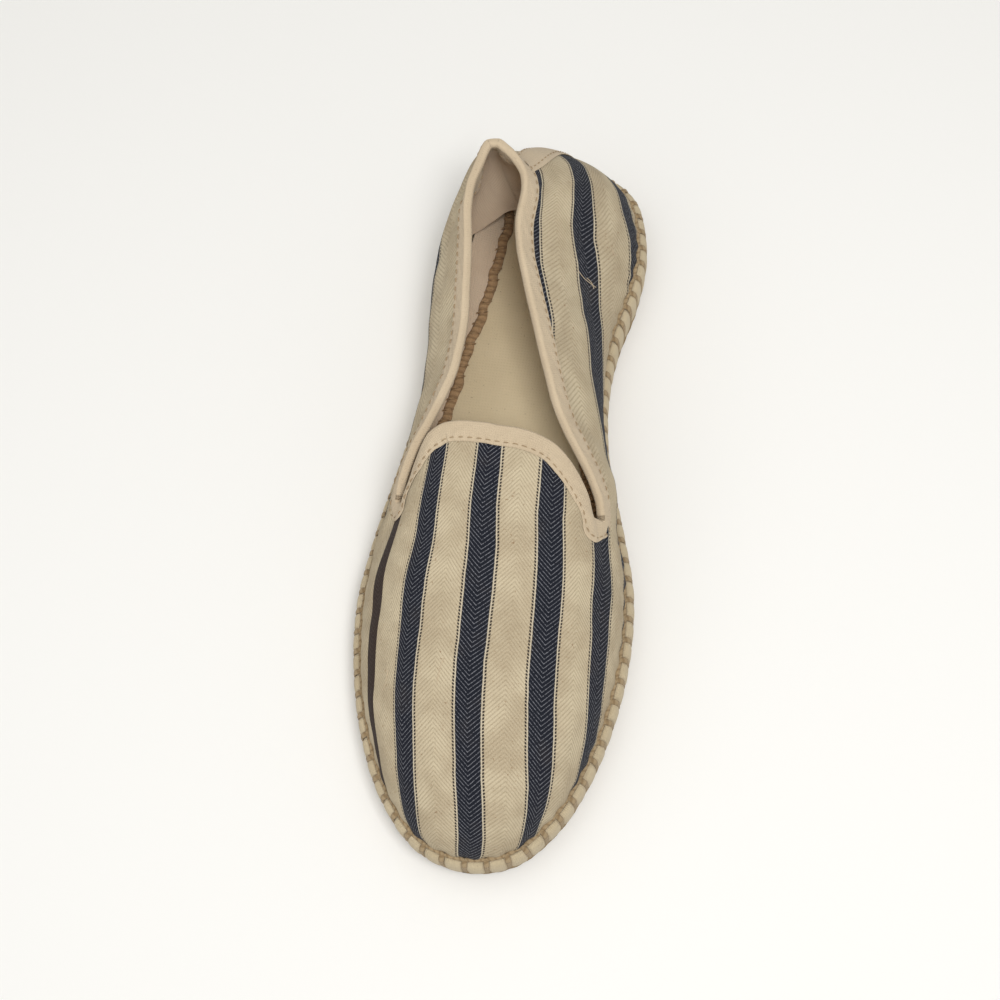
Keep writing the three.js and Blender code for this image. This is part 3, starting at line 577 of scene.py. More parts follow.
class Finish:
    """A material; each method adds a node and returns its output."""

    def __init__(self, name, roughness=0.9, sheen=0.0, specular=0.25):
        self.material = bpy.data.materials.new(name)
        self.material.use_nodes = True
        self.tree = self.material.node_tree
        self.surface = self.tree.nodes["Principled BSDF"]
        self.surface.inputs["Roughness"].default_value = roughness
        self.surface.inputs["Sheen Weight"].default_value = sheen
        self.surface.inputs["Sheen Roughness"].default_value = 0.6
        self.surface.inputs["Specular IOR Level"].default_value = specular

    def node(self, kind, inputs, **settings):
        node = self.tree.nodes.new(kind)
        for key, value in settings.items():
            setattr(node, key, value)
        for key, value in inputs.items():
            socket = node.inputs[key]
            if isinstance(value, bpy.types.NodeSocket):
                self.tree.links.new(value, socket)
            else:
                socket.default_value = value
        return node

    def math(self, operation, *values):
        return self.node("ShaderNodeMath", dict(enumerate(values)), operation=operation).outputs[0]

    def plus(self, first, second):
        return self.math("ADD", first, second)

    def times(self, first, second):
        return self.math("MULTIPLY", first, second)

    def scaled(self, value, factor, offset):
        """The value times a factor, plus an offset."""
        return self.math("MULTIPLY_ADD", value, factor, offset)

    def place(self):
        """The cloth's own coordinates in mm: across, along and a third value, which holds painted shade."""
        weave = self.node("ShaderNodeAttribute", {}, attribute_name="weave").outputs["Vector"]
        parts = self.node("ShaderNodeSeparateXYZ", {0: weave}).outputs
        return weave, parts[0], parts[1], parts[2]

    def solid(self):
        """Place in the part's own frame, in mm."""
        here = self.node("ShaderNodeTexCoord", {}).outputs["Object"]
        return self.node("ShaderNodeVectorMath", {0: here, "Scale": 1 / MM}, operation="SCALE").outputs[0]

    def stretch(self, vector, x, y, z=1):
        return self.node("ShaderNodeVectorMath", {0: vector, 1: (x, y, z)}, operation="MULTIPLY").outputs[0]

    def noise(self, vector, scale, detail=2, roughness=0.5):
        return self.node("ShaderNodeTexNoise", {"Vector": vector, "Scale": scale, "Detail": detail,
                                                "Roughness": roughness}).outputs[0]

    def between(self, value, low, high, start=0.0, end=1.0):
        """Start below low, end above high, smooth between them."""
        inputs = {"Value": value, "From Min": low, "From Max": high, "To Min": start, "To Max": end}
        return self.node("ShaderNodeMapRange", inputs, interpolation_type="SMOOTHSTEP").outputs[0]

    def wave(self, value, pitch):
        """0 to 1 and back over each pitch."""
        turn = self.times(value, 2 * math.pi / pitch)
        return self.scaled(self.math("SINE", turn), 0.5, 0.5)

    def mix(self, share, first, second):
        """First colour where the share is 0, second where it is 1."""
        return self.node("ShaderNodeMix", {0: share, 6: first, 7: second}, data_type="RGBA").outputs[2]

    def tint(self, colour, code, mask, most):
        """Another colour over the first where the mask is 1, by a share at most."""
        return self.mix(self.times(mask, most), colour, paint(code))

    def colour(self, value):
        self.tree.links.new(value, self.surface.inputs["Base Color"])

    def bump(self, height, depth, below=None):
        """Relief of a depth in mm, on top of another relief."""
        inputs = {"Height": height, "Distance": depth * MM, "Strength": 1.0}
        if below is not None:
            inputs["Normal"] = below
        normal = self.node("ShaderNodeBump", inputs).outputs[0]
        self.tree.links.new(normal, self.surface.inputs["Normal"])
        return normal

# %% [markdown]
# The canvas is a woven herringbone: cream with navy stripes every 24 mm. A beaded yarn and a pale line
# edge each stripe, and the twill turns at the middle of every stripe, so navy shows chevrons that point
# to the toe. In the mill this is one warp with a pattern draft. Here it's one formula of two distances.

# %% Canvas finish
STRIPE_PITCH = 24
NAVY_HALF = 4.2                # half width of the navy
PALE_HALF = 4.6                # outer edge of the pale line
BEAD_HALF = 5.3                # outer edge of the beaded yarn
BEAD_PITCH = 1.1
BEAD_SLANT = 0.5
TWILL_PITCH = 1.55
CROSSING_PITCH = 0.62
FAR_STRIPE = -1.5              # beyond this place, in pitches, the stripe is faded brown and plain
FAR_NARROWER = 1.4             # and its half is narrower by this
TWILL_DEPTH, YARN_DEPTH, CRUMPLE_DEPTH = 0.16, 0.12, 1.3


def make_canvas():
    finish = Finish("striped_canvas", roughness=0.95, sheen=0.04, specular=0.12)
    weave, across, along, painted_shade = finish.place()
    solid = finish.solid()

    # distances on the cloth, uneven as a loom leaves them
    waver = finish.noise(finish.stretch(weave, 0.02, 0.09, 0), 1.0)
    across = finish.plus(across, finish.scaled(waver, 0.7, -0.35))
    from_middle = finish.math("PINGPONG", across, STRIPE_PITCH / 2)
    fuzz = finish.noise(finish.stretch(weave, 1.5, 2.2, 0), 1.0)
    edge = finish.plus(from_middle, finish.scaled(fuzz, 0.3, -0.15))

    # where the navy, the pale line and the beaded yarn lie
    far = FAR_STRIPE * STRIPE_PITCH
    near = finish.between(across, far - 1, far + 1)
    half = finish.scaled(near, FAR_NARROWER, NAVY_HALF - FAR_NARROWER)
    navy = finish.between(finish.math("SUBTRACT", edge, half), -0.15, 0.15, 1, 0)
    bead = finish.times(finish.between(edge, PALE_HALF, PALE_HALF + 0.15),
                        finish.between(edge, BEAD_HALF - 0.1, BEAD_HALF + 0.1, 1, 0))
    slant = finish.scaled(from_middle, BEAD_SLANT, along)
    dash = finish.between(finish.wave(slant, BEAD_PITCH), 0.15, 0.4)
    bead_yarn = finish.times(finish.times(bead, dash), near)
    pale = finish.times(finish.between(edge, NAVY_HALF - 0.05, NAVY_HALF + 0.1),
                        finish.between(edge, PALE_HALF - 0.05, PALE_HALF + 0.1, 1, 0))
    pale = finish.times(pale, near)

    # the weave and its unevenness
    twill = finish.wave(finish.plus(along, from_middle), TWILL_PITCH)
    groove = finish.between(finish.scaled(fuzz, 0.5, twill), 0.2, 0.8, 1, 0)
    yarn = finish.noise(finish.stretch(weave, 3.2, 1.6, 0), 1.0, 3, 0.6)
    lines = finish.times(finish.between(twill, 0.78, 1.0), finish.between(yarn, 0.36, 0.6))
    crossing = finish.wave(across, CROSSING_PITCH)
    soft = finish.noise(solid, 0.09, 3)
    specks = finish.between(finish.noise(solid, 0.75, 3, 0.6), 0.64, 0.74)

    # colours
    cream = finish.mix(finish.between(soft, 0.3, 0.7), paint("b2a185"), paint("c9ba9d"))
    cream = finish.tint(cream, "95846a", groove, 0.58)
    cream = finish.tint(cream, "dcd1b8", finish.between(yarn, 0.35, 0.7), 0.28)
    cream = finish.tint(cream, "84603f", specks, 0.6)
    ink = finish.mix(yarn, paint("12141d"), paint("23262f"))
    ink = finish.tint(ink, "8c8d93", lines, 0.8)
    faded = finish.mix(yarn, paint("241b19"), paint("44362f"))
    faded = finish.tint(faded, "8a7a6c", lines, 0.15)
    colour = finish.mix(navy, cream, finish.mix(near, faded, ink))
    colour = finish.tint(colour, "cbc0aa", pale, 0.8)
    colour = finish.tint(colour, "1f1c22", bead_yarn, 0.95)

    # painted shade near the sole, and stains, which navy hides
    stain = finish.times(finish.between(finish.noise(solid, 0.06, 4, 0.6), 0.5, 0.75), 0.2)
    stain_and_shade = finish.times(finish.scaled(painted_shade, 0.5, stain), finish.scaled(navy, -0.75, 1.0))
    finish.colour(finish.mix(stain_and_shade, colour, paint("86745a")))

    # relief: crumples, then the weave, then the yarn
    woven = finish.plus(finish.times(twill, 0.6), finish.times(crossing, 0.2))
    woven = finish.plus(woven, finish.times(bead_yarn, 0.8))
    crumple = finish.bump(finish.noise(solid, 0.1, 4, 0.55), CRUMPLE_DEPTH)
    finish.bump(yarn, YARN_DEPTH, finish.bump(woven, TWILL_DEPTH, crumple))
    print(f"striped canvas: {len(finish.tree.nodes)} nodes")
    return finish.material


canvas = make_canvas()

# %% [markdown]
# The vamp is one piece of cloth lasted over the toe. Its stripes run along the shoe and were pulled a
# little to the sides as it was stitched down. The table holds where the middle stripe lies, and how much
# cloth there is from it to the next ones, read off at places along the vamp.

# %% Vamp
# along: share of LENGTH, middle: share of BALL_WIDTH, then mm of cloth from the middle stripe to the
# second and first on the outer side and the first and second on the inner side
VAMP_STRIPES = [
    (-0.500, 0.096, -37.5, -23.2, 24.6, 49.0),
    (-0.473, 0.094, -37.5, -23.2, 24.6, 49.0),
    (-0.398, 0.064, -37.5, -23.2, 24.6, 49.5),
    (-0.322, 0.031, -37.7, -23.4, 24.6, 49.5),
    (-0.246, 0.011, -38.5, -23.1, 24.4, 47.4),
    (-0.170, 0.003, -39.4, -23.2, 24.2, 45.5),
    (-0.114, -0.006, -36.5, -21.4, 23.9, 45.8),
    (-0.057, -0.024, -33.0, -19.6, 23.3, 45.8),
    (0.040, -0.034, -31.0, -18.5, 23.0, 45.0),
]
STRIPE_NUMBERS = (-2, -1, 0, 1, 2)
# along: share of LENGTH, then how much wider the stripes are stretched there
STRIPE_WIDTHS = [(-0.5, -0.04), (-0.4, 0), (-0.25, 0.1), (-0.1, 0.17), (0.04, 0.1)]
SECTION_STEPS = 32
CREST_PAST = 20                # mm past the throat to which the dome's crest is measured
CREST_STEPS = 800


def section_length(x, y):
    """Cloth from the dome's crest to a place beside it, along the cross section."""
    outer, inner = feather_sides(y)
    middle = dome_middle(y)
    edge = np.where(x > middle, inner, outer)
    turn = np.arcsin(np.abs(dome_out(x, y)))[..., None] * np.linspace(0, 1, SECTION_STEPS)
    across = middle[..., None] + np.sin(turn) * (edge - middle)[..., None]
    height = dome_height(across, np.broadcast_to(y[..., None], across.shape))
    length = np.hypot(np.diff(across, axis=-1), np.diff(height, axis=-1)).sum(-1)
    return np.where(x > middle, length, -length)


CREST_END = THROAT_ALONG * LENGTH + CREST_PAST
CREST_Y = TOE_Y + (CREST_END - TOE_Y) * np.linspace(0, 1, CREST_STEPS) ** 2
CREST_LENGTH = way_along(np.column_stack([CREST_Y, dome_height(dome_middle(CREST_Y), CREST_Y)]))


def stripe_place(cloth_length, stripes, numbers):
    """Place across the weave, where the numbered stripes lie at the given lengths of cloth."""
    place = numbers[0] * STRIPE_PITCH + np.minimum(cloth_length - stripes[0], 0)
    for near, far in zip(stripes, stripes[1:]):
        place = place + STRIPE_PITCH * np.clip((cloth_length - near) / (far - near), 0, 1)
    return place + np.maximum(cloth_length - stripes[-1], 0)


SHADE_REACH = 2.5               # mm up the cloth


def sole_shade(points):
    """Painted shade near the sole, where the upper meets it, 0 to 1."""
    return np.exp(-np.maximum(above_sole(points), 0) / SHADE_REACH)


def vamp_weave(points):
    """Places of the vamp's points on the flat cloth, and their painted shade near the sole."""
    x, y = points[..., 0], np.maximum(points[..., 1], TOE_Y + 0.01)
    share = y / LENGTH
    middle, *stripes = (placed_curve(column(VAMP_STRIPES, 0), column(VAMP_STRIPES, k))(share)
                        for k in range(1, 6))
    from_middle = section_length(x, y) - section_length(middle * BALL_WIDTH, y)
    stripes.insert(2, np.zeros_like(from_middle))
    across = stripe_place(from_middle, stripes, STRIPE_NUMBERS)
    wide = placed_curve(column(STRIPE_WIDTHS, 0), column(STRIPE_WIDTHS, 1))(share)
    turn = 2 * math.pi * across / STRIPE_PITCH
    across = across - wide * np.sin(turn) * STRIPE_PITCH / (2 * math.pi)
    along = -np.interp(y, CREST_Y, CREST_LENGTH)
    return np.stack([across, along, sole_shade(points)], -1)


SEAM_LAP = 0.35                # ribs that the vamp laps over the quarters
SEAM_RISE = 0.7                # thickness of the turned edge of the vamp
VAMP_COLUMNS, VAMP_ROWS = 300, 110


def grid_of(first, second):
    return np.meshgrid(first, second, indexing="ij")


def make_vamp():
    t, h = grid_of(np.linspace(OUTER_NOTCH - SEAM_LAP, LAP + INNER_NOTCH + SEAM_LAP, VAMP_COLUMNS),
                   np.linspace(0, 1, VAMP_ROWS))
    from_edge = np.minimum(t - t[0, 0], t[-1, 0] - t) / SEAM_LAP
    turned = SEAM_RISE * smoothstep(0, 0.15, from_edge) * smoothstep(3, 1, from_edge)
    return make_mesh("vamp", cloth(t, h, turned), grid_faces(VAMP_COLUMNS, VAMP_ROWS), [canvas],
                     vamp_weave(upper_face(t, h)))


vamp = make_vamp()
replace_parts(vamp, "upper")

# %% [markdown]
# The quarters wrap the heel from one side seam to the other. Their stripes rise from the sole at the
# waist to the collar at the heel, since the cloth is cut straight and bent round a slanting heel. The
# table gives three stripes' heights up the cloth at places round the shoe.

# %% Quarters
# rib, then mm of cloth up from the sole to the low, middle and top stripe
QUARTER_STRIPES = [
    (7.0, -26, -2, 28),
    (8.0, -26, -1, 30),
    (10.0, -22, 5, 39),
    (12.0, -18, 9, 45),
    (13.2, -15, 13.4, 50.5),
    (14.4, -12, 19, 52.5),
    (15.2, -11, 20.4, 51.5),
    (16.0, -9, 22.2, 54.3),
    (17.0, -6, 27.5, 58.2),
    (17.7, -2.7, 33.3, 60.5),
    (18.4, 3, 38.8, 62.8),
    (19.2, 11.6, 40.4, 64.2),
    (19.6, 11.6, 37.5, 63.5),
    (20.0, 9, 33, 62),
    (20.4, 7, 29.5, 60.5),
    (21.0, 4, 26.5, 57.5),
    (23.0, 4, 27, 56),
    (25.0, 2, 24.5, 58),
    (27.0, -1, 22.5, 60),
    (28.3, -5, 20, 58),
    (29.8, -10, 14.6, 54),
    (30.8, -14, 11.3, 51),
    (32.3, -14, 10.6, 46),
    (33.7, -14, 11, 38),
    (35.0, -17, 8.5, 32),
    (37.0, -22, 1, 28),
]
QUARTER_NUMBERS = (-1, 0, 1)
QUARTER_COLUMNS, QUARTER_ROWS = 420, 90


def make_quarters():
    t, h = grid_of(np.linspace(INNER_NOTCH - SEAM_LAP, OUTER_NOTCH + SEAM_LAP, QUARTER_COLUMNS),
                   np.linspace(0, 1, QUARTER_ROWS))
    face = upper_face(t, h)
    up = np.array([way_along(rib) for rib in face])
    along = way_along(face[:, QUARTER_ROWS // 2])
    ribs = column(QUARTER_STRIPES, 0)
    stripes = [placed_curve(ribs, column(QUARTER_STRIPES, k))(t) for k in (1, 2, 3)]
    across = stripe_place(up, stripes, QUARTER_NUMBERS)
    # the third value is painted shade near the sole
    weave = np.stack([across, np.broadcast_to(-along[:, None], up.shape), sole_shade(face)], -1)
    return make_mesh("quarters", cloth(t, h), grid_faces(QUARTER_COLUMNS, QUARTER_ROWS), [canvas],
                     weave)


quarters = make_quarters()
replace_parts(quarters, "upper")

# %% [markdown]
# Inside, the shoe is lined with plain cotton, and a second, pinkish patch covers the heel. Its lower
# edge hangs free and shows as a dark line. Both are drawn on the same worn form, one wall further in.

# %% Lining and heel patch
LINING_COLUMNS, LINING_ROWS = 260, 50
RIB_SPACING, RIB_LENGTH = 12, 60   # mm of cloth that stand for a rib and for its height in the weave


def make_plain_cloth(name, base, shade, pitch=0.9, depth=0.1, spots="8f7456", spot_share=0.3):
    """Plain weave; base and shade are its two tones, pitch and depth those of its threads in mm."""
    finish = Finish(name, roughness=0.93, sheen=0.1)
    weave, across, along, painted_shade = finish.place()
    solid = finish.solid()
    threads = finish.times(finish.wave(across, pitch), finish.wave(along, pitch))
    fibre = finish.noise(finish.stretch(weave, 2.4, 2.4, 0), 1.0, 3, 0.6)
    specks = finish.between(finish.noise(solid, 0.8, 3, 0.6), 0.66, 0.76)
    colour = finish.mix(finish.noise(solid, 0.07, 3), paint(shade), paint(base))
    colour = finish.tint(colour, shade, finish.between(fibre, 0.4, 0.75), 0.25)
    colour = finish.tint(colour, spots, specks, spot_share)
    # painted shade, by the weave's third value: near the sole, at the insole's edge and in the rand's
    # grooves
    finish.colour(finish.tint(colour, "7d6a50", painted_shade, 0.6))
    finish.bump(fibre, depth, finish.bump(threads, depth))
    return finish.material


lining_cloth = make_plain_cloth("lining_cloth", "d2c2a2", "c3b190")
patch_cloth = make_plain_cloth("heel_patch_cloth", "dcc8af", "ccb59c", spot_share=0.15)


def make_lining():
    t, h = grid_of(np.linspace(0, LAP, LINING_COLUMNS, endpoint=False), np.linspace(0, 1, LINING_ROWS))
    points = cloth(t, h, -WALL)
    # the third value is painted shade at the lining's foot, by the insole
    weave = np.stack([t * RIB_SPACING, h * RIB_LENGTH, sole_shade(points) * 0.6], -1)
    return make_mesh("lining", points, grid_faces(LINING_COLUMNS, LINING_ROWS, closed=True),
                     [lining_cloth], weave)


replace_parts(make_lining(), "upper")

# rib, shares of the rib at the patch's lower and upper edge, mm that the lower edge hangs off the wall
HEEL_PATCH = [
    (15.5, 0.30, 0.86, 0.5),
    (17.5, 0.20, 0.90, 3.0),
    (19.0, 0.16, 0.92, 9.0),
    (21.0, 0.16, 0.92, 14.0),
    (23.0, 0.16, 0.92, 15.0),
    (24.0, 0.16, 0.92, 13.0),
    (24.6, 0.15, 0.92, 10.0),
    (25.1, 0.13, 0.92, 6.0),
    (25.6, 0.12, 0.92, 2.5),
    (28.0, 0.20, 0.90, 0.8),
]
PATCH_COLUMNS, PATCH_ROWS = 120, 40
PATCH_OFF = 0.5                # patch off the lining
PATCH_SLOPE = 1.6              # how soon it comes back to the wall above its edge
PATCH_END = 0.06               # share of its length over which each end lies down on the lining
PATCH_HEIGHT = 50              # mm of cloth from edge to edge in the weave


def make_heel_patch():
    ribs = column(HEEL_PATCH, 0)
    share, k = grid_of(np.linspace(0, 1, PATCH_COLUMNS), np.linspace(0, 1, PATCH_ROWS))
    t = ribs[0] + (ribs[-1] - ribs[0]) * share
    low, high, hang = (placed_curve(ribs, column(HEEL_PATCH, place))(t) for place in (1, 2, 3))
    off = PATCH_OFF + hang * (1 - k) ** PATCH_SLOPE
    off = off * smoothstep(0, PATCH_END, share) * smoothstep(1, 1 - PATCH_END, share)
    points = cloth(t, low + (high - low) * k, -WALL - off)
    weave = np.stack([t * RIB_SPACING, k * PATCH_HEIGHT, np.zeros_like(k)], -1)
    return make_mesh("heel_patch", points, grid_faces(PATCH_COLUMNS, PATCH_ROWS), [patch_cloth],
                     weave)


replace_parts(make_heel_patch(), "upper")

# %% [markdown]
# A cotton tape is folded over the whole top edge and stitched through. It is made as a strip that
# follows the edge: down the outside, over the fold and down the inside, square to the edge everywhere.
# A sewing machine does it with a folder in front of the needle, which leaves small puckers.

# %% Bindings
tape_cloth = make_plain_cloth("binding_tape", "d3c1a5", "c0ac90", pitch=0.8, depth=0.12, spot_share=0.3)
thread_finish = make_plain_cloth("stitch_thread", "b39c7c", "927a5c", pitch=0.5, depth=0.05)

NEAREST_STEPS = 8              # corrections
FIRST_GUESS = 0.9              # share of a rib where the search starts


def edge_frame(t):
    """Normal of the cloth at the top edge, and the way out of it within the cloth."""
    t = np.asarray(t, float)
    normal = upper_normal(t, 1.0)
    run = unit(upper_face(t + PROBE, 1.0) - upper_face(t - PROBE, 1.0))
    out = -unit(np.cross(run, normal))
    down = upper_face(t, 1.0) - upper_face(t, 1 - PROBE)
    return normal, out * np.where(np.sum(out * down, -1) < 0, -1, 1)[..., None]


def nearest_place(target, t, h):
    """Rib and share on the upper's face nearest to a point, by a few corrections."""
    t, h = np.array(t, float), np.array(h, float)
    for _ in range(NEAREST_STEPS):
        low, high = np.maximum(0, h - PROBE), np.minimum(1, h + PROBE)
        up = (upper_face(t, high) - upper_face(t, low)) / (high - low)[..., None]
        way_round = (upper_face(t + PROBE, h) - upper_face(t - PROBE, h)) / (2 * PROBE)
        miss = target - upper_face(t, h)
        uu, rr, ur = (np.sum(a * b, -1) for a, b in ((up, up), (way_round, way_round), (up, way_round)))
        mu, mr = np.sum(miss * up, -1), np.sum(miss * way_round, -1)
        det = uu * rr - ur * ur
        h = np.clip(h + (mu * rr - mr * ur) / det, 0, 1)
        t = t + (mr * uu - mu * ur) / det
    return t, h


def below_edge(t, distance, offset):
    """Point of the cloth a distance below the top edge, square to it."""
    _, out = edge_frame(t)
    place = nearest_place(upper_face(t, 1.0) - out * distance, t, np.full(np.shape(t), FIRST_GUESS))
    return cloth(*place, offset)


TAPE_LANES = (TAPE_WIDTH, 6.35, 6.0, 5.2, 4.2, 3.2, 2.2, 1.2, 0.4)   # mm below the edge
TAPE_BASE = 0.3                # outer face of the tape over the cloth at its very edge
TAPE_OFF = TAPE_THICKNESS      # and away from its edge
EDGE_TURN = 0.35               # mm in which the tape's edge rounds up
STITCH_PITCH = 3.1
STITCH_LINE = 5.2              # mm below the edge
SEWN_IN, PUCKER = 0.3, 0.22    # how deep the seam lies, and how much deeper at each stitch
WRINKLE_ALONG, WRINKLE_ACROSS = 7.3, 4.0   # mm from one slanting wrinkle to the next
WRINKLE_MIDDLE, WRINKLE_HALF = 3.0, 2.4    # mm below the edge where they lie, and their half width
FOLD_TURNS = (0, 0.2, 0.5, 0.8, 1)         # of the half turn over the edge
FOLD_RISE = 1.3                # how far the fold stands over the edge, in tape thicknesses
FOLD_WIDTH = 2.4               # mm of tape in the fold
TAPE_COLUMNS = 20              # for each rib
# rib, how much wider the tape lies there, and over how many ribs
TAPE_FLARES = [(6.9, 0.3, 0.6), (INNER_NOTCH, -0.22, 0.5),
               (OUTER_NOTCH - LAP, -0.2, 0.7), (OUTER_NOTCH, -0.2, 0.7)]


def tape_spread(t):
    """How much further from the edge everything on a tape lies near a notch."""
    return 1 + sum(wider * np.exp(-((t - rib) / ribs) ** 2) for rib, wider, ribs in TAPE_FLARES)


def edge_rise(from_edge):
    """Height of a tape's face over the cloth, a distance inside the tape's own edge."""
    return TAPE_BASE + (TAPE_OFF - TAPE_BASE) * (1 - np.exp(-from_edge / EDGE_TURN))


def tape_off(distance, along):
    """Height of the tape's face over the cloth, a distance below the edge and a way along it."""
    off = edge_rise(TAPE_WIDTH - distance)
    sewn = math.exp(-(distance - STITCH_LINE) ** 2)
    pucker = -sewn * (SEWN_IN + PUCKER * np.cos(2 * math.pi * along / STITCH_PITCH))
    slant = along / WRINKLE_ALONG + distance / WRINKLE_ACROSS
    wrinkle = 0.16 * np.sin(2 * math.pi * slant) + 0.1 * np.sin(along / 2.9 + distance)
    return off + pucker + wrinkle * math.exp(-((distance - WRINKLE_MIDDLE) / WRINKLE_HALF) ** 2)


def make_binding(name, start, end):
    t = np.linspace(start, end, int((end - start) * TAPE_COLUMNS) + 1)
    along = way_along(cloth(t, 1.0))
    normal, out = edge_frame(t)
    spread = tape_spread(t)[:, None]
    lanes, across = [], []
    for distance in TAPE_LANES:
        lanes.append(below_edge(t, distance * spread, tape_off(distance, along)))
        across.append(-distance)
    half = WALL / 2 + TAPE_OFF
    middle = cloth(t, 1.0, -WALL / 2)
    for turn in FOLD_TURNS:
        sideways, over = half * math.cos(math.pi * turn), TAPE_OFF * FOLD_RISE * math.sin(math.pi * turn)
        lanes.append(middle + normal * sideways + out * over)
        across.append(FOLD_WIDTH * turn)
    for distance in TAPE_LANES[::-1]:
        lanes.append(below_edge(t, distance * spread, -WALL - tape_off(distance, along)))
        across.append(FOLD_WIDTH + distance)
    weave = np.stack(np.broadcast_arrays(along[:, None], np.array(across)[None, :], 0.0), -1)
    return make_mesh(name, np.stack(lanes, 1), grid_faces(len(t), len(lanes)), [tape_cloth], weave)


# ribs from which and to which each tape runs: the throat's passes the notches, the collar's starts there
THROAT_RUN = (OUTER_NOTCH - LAP - 0.55, INNER_NOTCH + 0.55)
COLLAR_RUN = (INNER_NOTCH + 0.25, OUTER_NOTCH - 0.25)
throat_binding = make_binding("throat_tape", *THROAT_RUN)
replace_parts(throat_binding, "throat_binding")
collar_binding = make_binding("collar_tape", *COLLAR_RUN)
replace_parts(collar_binding, "collar_binding")

# %% [markdown]
# Stitches are short raised threads with a gap between them, one mesh for all. Each lies on its tape and
# dips at both ends, where the needle went through. Real thread shows so because the cloth rises round it.

# %% Stitches
THREAD_RADIUS = 0.2
STITCH_SHARE = 0.62            # share of the pitch that a stitch covers
STITCH_SINK = 0.18 * (np.array([1, 0.15, 0, 0.15, 1]) * 2 - 0.6)   # mm deep, from end to end


def sew(bundle, points, normals):
    """Stitches along a path of points on the cloth with their normals."""
    travelled = way_along(points)
    for start in np.arange(STITCH_PITCH / 2, travelled[-1] - STITCH_PITCH, STITCH_PITCH):
        lengths = start + STITCH_PITCH * STITCH_SHARE * np.linspace(0, 1, len(STITCH_SINK))
        here, up = (np.stack([np.interp(lengths, travelled, path[:, k]) for k in range(3)], -1)
                    for path in (points, normals))
        bundle.thread(here - unit(up) * STITCH_SINK[:, None], THREAD_RADIUS)


def tape_line(start, end, distance, off):
    """Points and normals along a tape, a distance below the edge."""
    t = np.linspace(start, end, int((end - start) * 12))
    _, out = edge_frame(t)
    below = out * distance * tape_spread(t)[:, None]
    place = nearest_place(upper_face(t, 1.0) - below, t, np.full(len(t), FIRST_GUESS))
    normals = upper_normal(*place)
    return cloth(*place, off), normals * np.sign(off)


threads = Bundle()
SEWN_OFF = TAPE_OFF - 0.12     # the seams lie a little below the tape's face
for start, end in ((OUTER_NOTCH - LAP - 0.3, INNER_NOTCH + 0.3), (INNER_NOTCH + 0.9, OUTER_NOTCH - 0.5)):
    for off in (SEWN_OFF, -WALL - SEWN_OFF):
        sew(threads, *tape_line(start, end, STITCH_LINE, off))

# %% [markdown]
# A straight tape covers the seam down the heel, sewn along both edges. It runs under the collar's
# binding at the top and under the sole's tape at the bottom.

# %% Back strip
STRIP_LANES, STRIP_LEVELS = 17, 60
STRIP_TOP = 0.93               # share of the rib, under the binding
STRIP_SEAM = 1.4               # stitches this far inside its edges
STRIP_DIP, STRIP_DIP_HALF = 0.25, 0.6   # how deep those stitches pull it in, and half how wide
STRIP_LENGTH = 66


def strip_place(side, h):
    """Rib beside the heel seam; side is mm from the strip's middle."""
    ahead, behind = (upper_face(HEEL_SEAM + step, h) for step in (PROBE, -PROBE))
    return HEEL_SEAM + side * 2 * PROBE / np.linalg.norm(ahead - behind, axis=-1)


def make_back_strip():
    h, side = grid_of(np.linspace(0.0, STRIP_TOP, STRIP_LEVELS),
                      np.linspace(-BACK_STRIP_WIDTH / 2, BACK_STRIP_WIDTH / 2, STRIP_LANES))
    from_edge = BACK_STRIP_WIDTH / 2 - np.abs(side)
    off = edge_rise(from_edge) - STRIP_DIP * np.exp(-((from_edge - STRIP_SEAM) / STRIP_DIP_HALF) ** 2)
    t = strip_place(side, h)
    # the third value is painted shade at the strip's foot, by the sole
    weave = np.stack([h * STRIP_LENGTH, side, sole_shade(upper_face(t, h))], -1)
    return make_mesh("heel_strip", cloth(t, h, off), grid_faces(STRIP_LEVELS, STRIP_LANES), [tape_cloth],
                     weave)


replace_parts(make_back_strip(), "back_strip")
SEAM_POINTS = 60
for side in (-1, 1):
    h = np.linspace(0.05, STRIP_TOP, SEAM_POINTS)
    t = strip_place(side * (BACK_STRIP_WIDTH / 2 - STRIP_SEAM), h)
    sew(threads, cloth(t, h, TAPE_OFF - 0.15), upper_normal(t, h))

# the side seams, where the vamp laps over the quarters
SEAM_LINE = 0.45 * SEAM_LAP
for rib in (INNER_NOTCH + SEAM_LINE, OUTER_NOTCH - SEAM_LINE):
    h = np.linspace(0.04, 0.72, SEAM_POINTS)
    sew(threads, cloth(rib, h, SEAM_RISE * 0.6), upper_normal(rib, h))
threads.build("stitches", thread_finish)

# %% [markdown]
# A few yarns of the worn canvas were pulled and lie on it as pale scratches, most of them across the
# inner quarter's stripe. They are single threads laid on the cloth, since paint alone would look flat.

# %% Pulled yarns
PULLED_YARNS = [               # rib and share of the rib at one end, the middle and the other end
    ((17.16, 0.55), (16.99, 0.47), (16.91, 0.36)),
    ((17.05, 0.46), (16.98, 0.41), (16.84, 0.38)),
    ((16.7, 0.3), (16.66, 0.27), (16.55, 0.25)),
    ((18.1, 0.3), (18.02, 0.28), (17.97, 0.24)),
    ((40.2, 0.45), (40.25, 0.42), (40.2, 0.38)),
    ((42.6, 0.62), (42.5, 0.6), (42.45, 0.56)),
]
YARN_RADIUS, YARN_OFF = 0.12, 0.08


def make_pulled_yarns():
    pulled = Bundle()
    for ends in PULLED_YARNS:
        t, h = (placed_curve((0, 1, 2), column(ends, k))(np.linspace(0, 2, 12)) for k in (0, 1))
        pulled.thread(cloth(t, h, YARN_OFF), YARN_RADIUS, sides=5)
    return pulled.build("pulled_yarns", tape_cloth)


make_pulled_yarns()

# %% [markdown]
# The insole is a sheet of canvas over the jute, bare here. Years of feet pressed it down at the heel and
# the ball. Along its edge runs the brown, rough cord where the braids were caught into the upper.

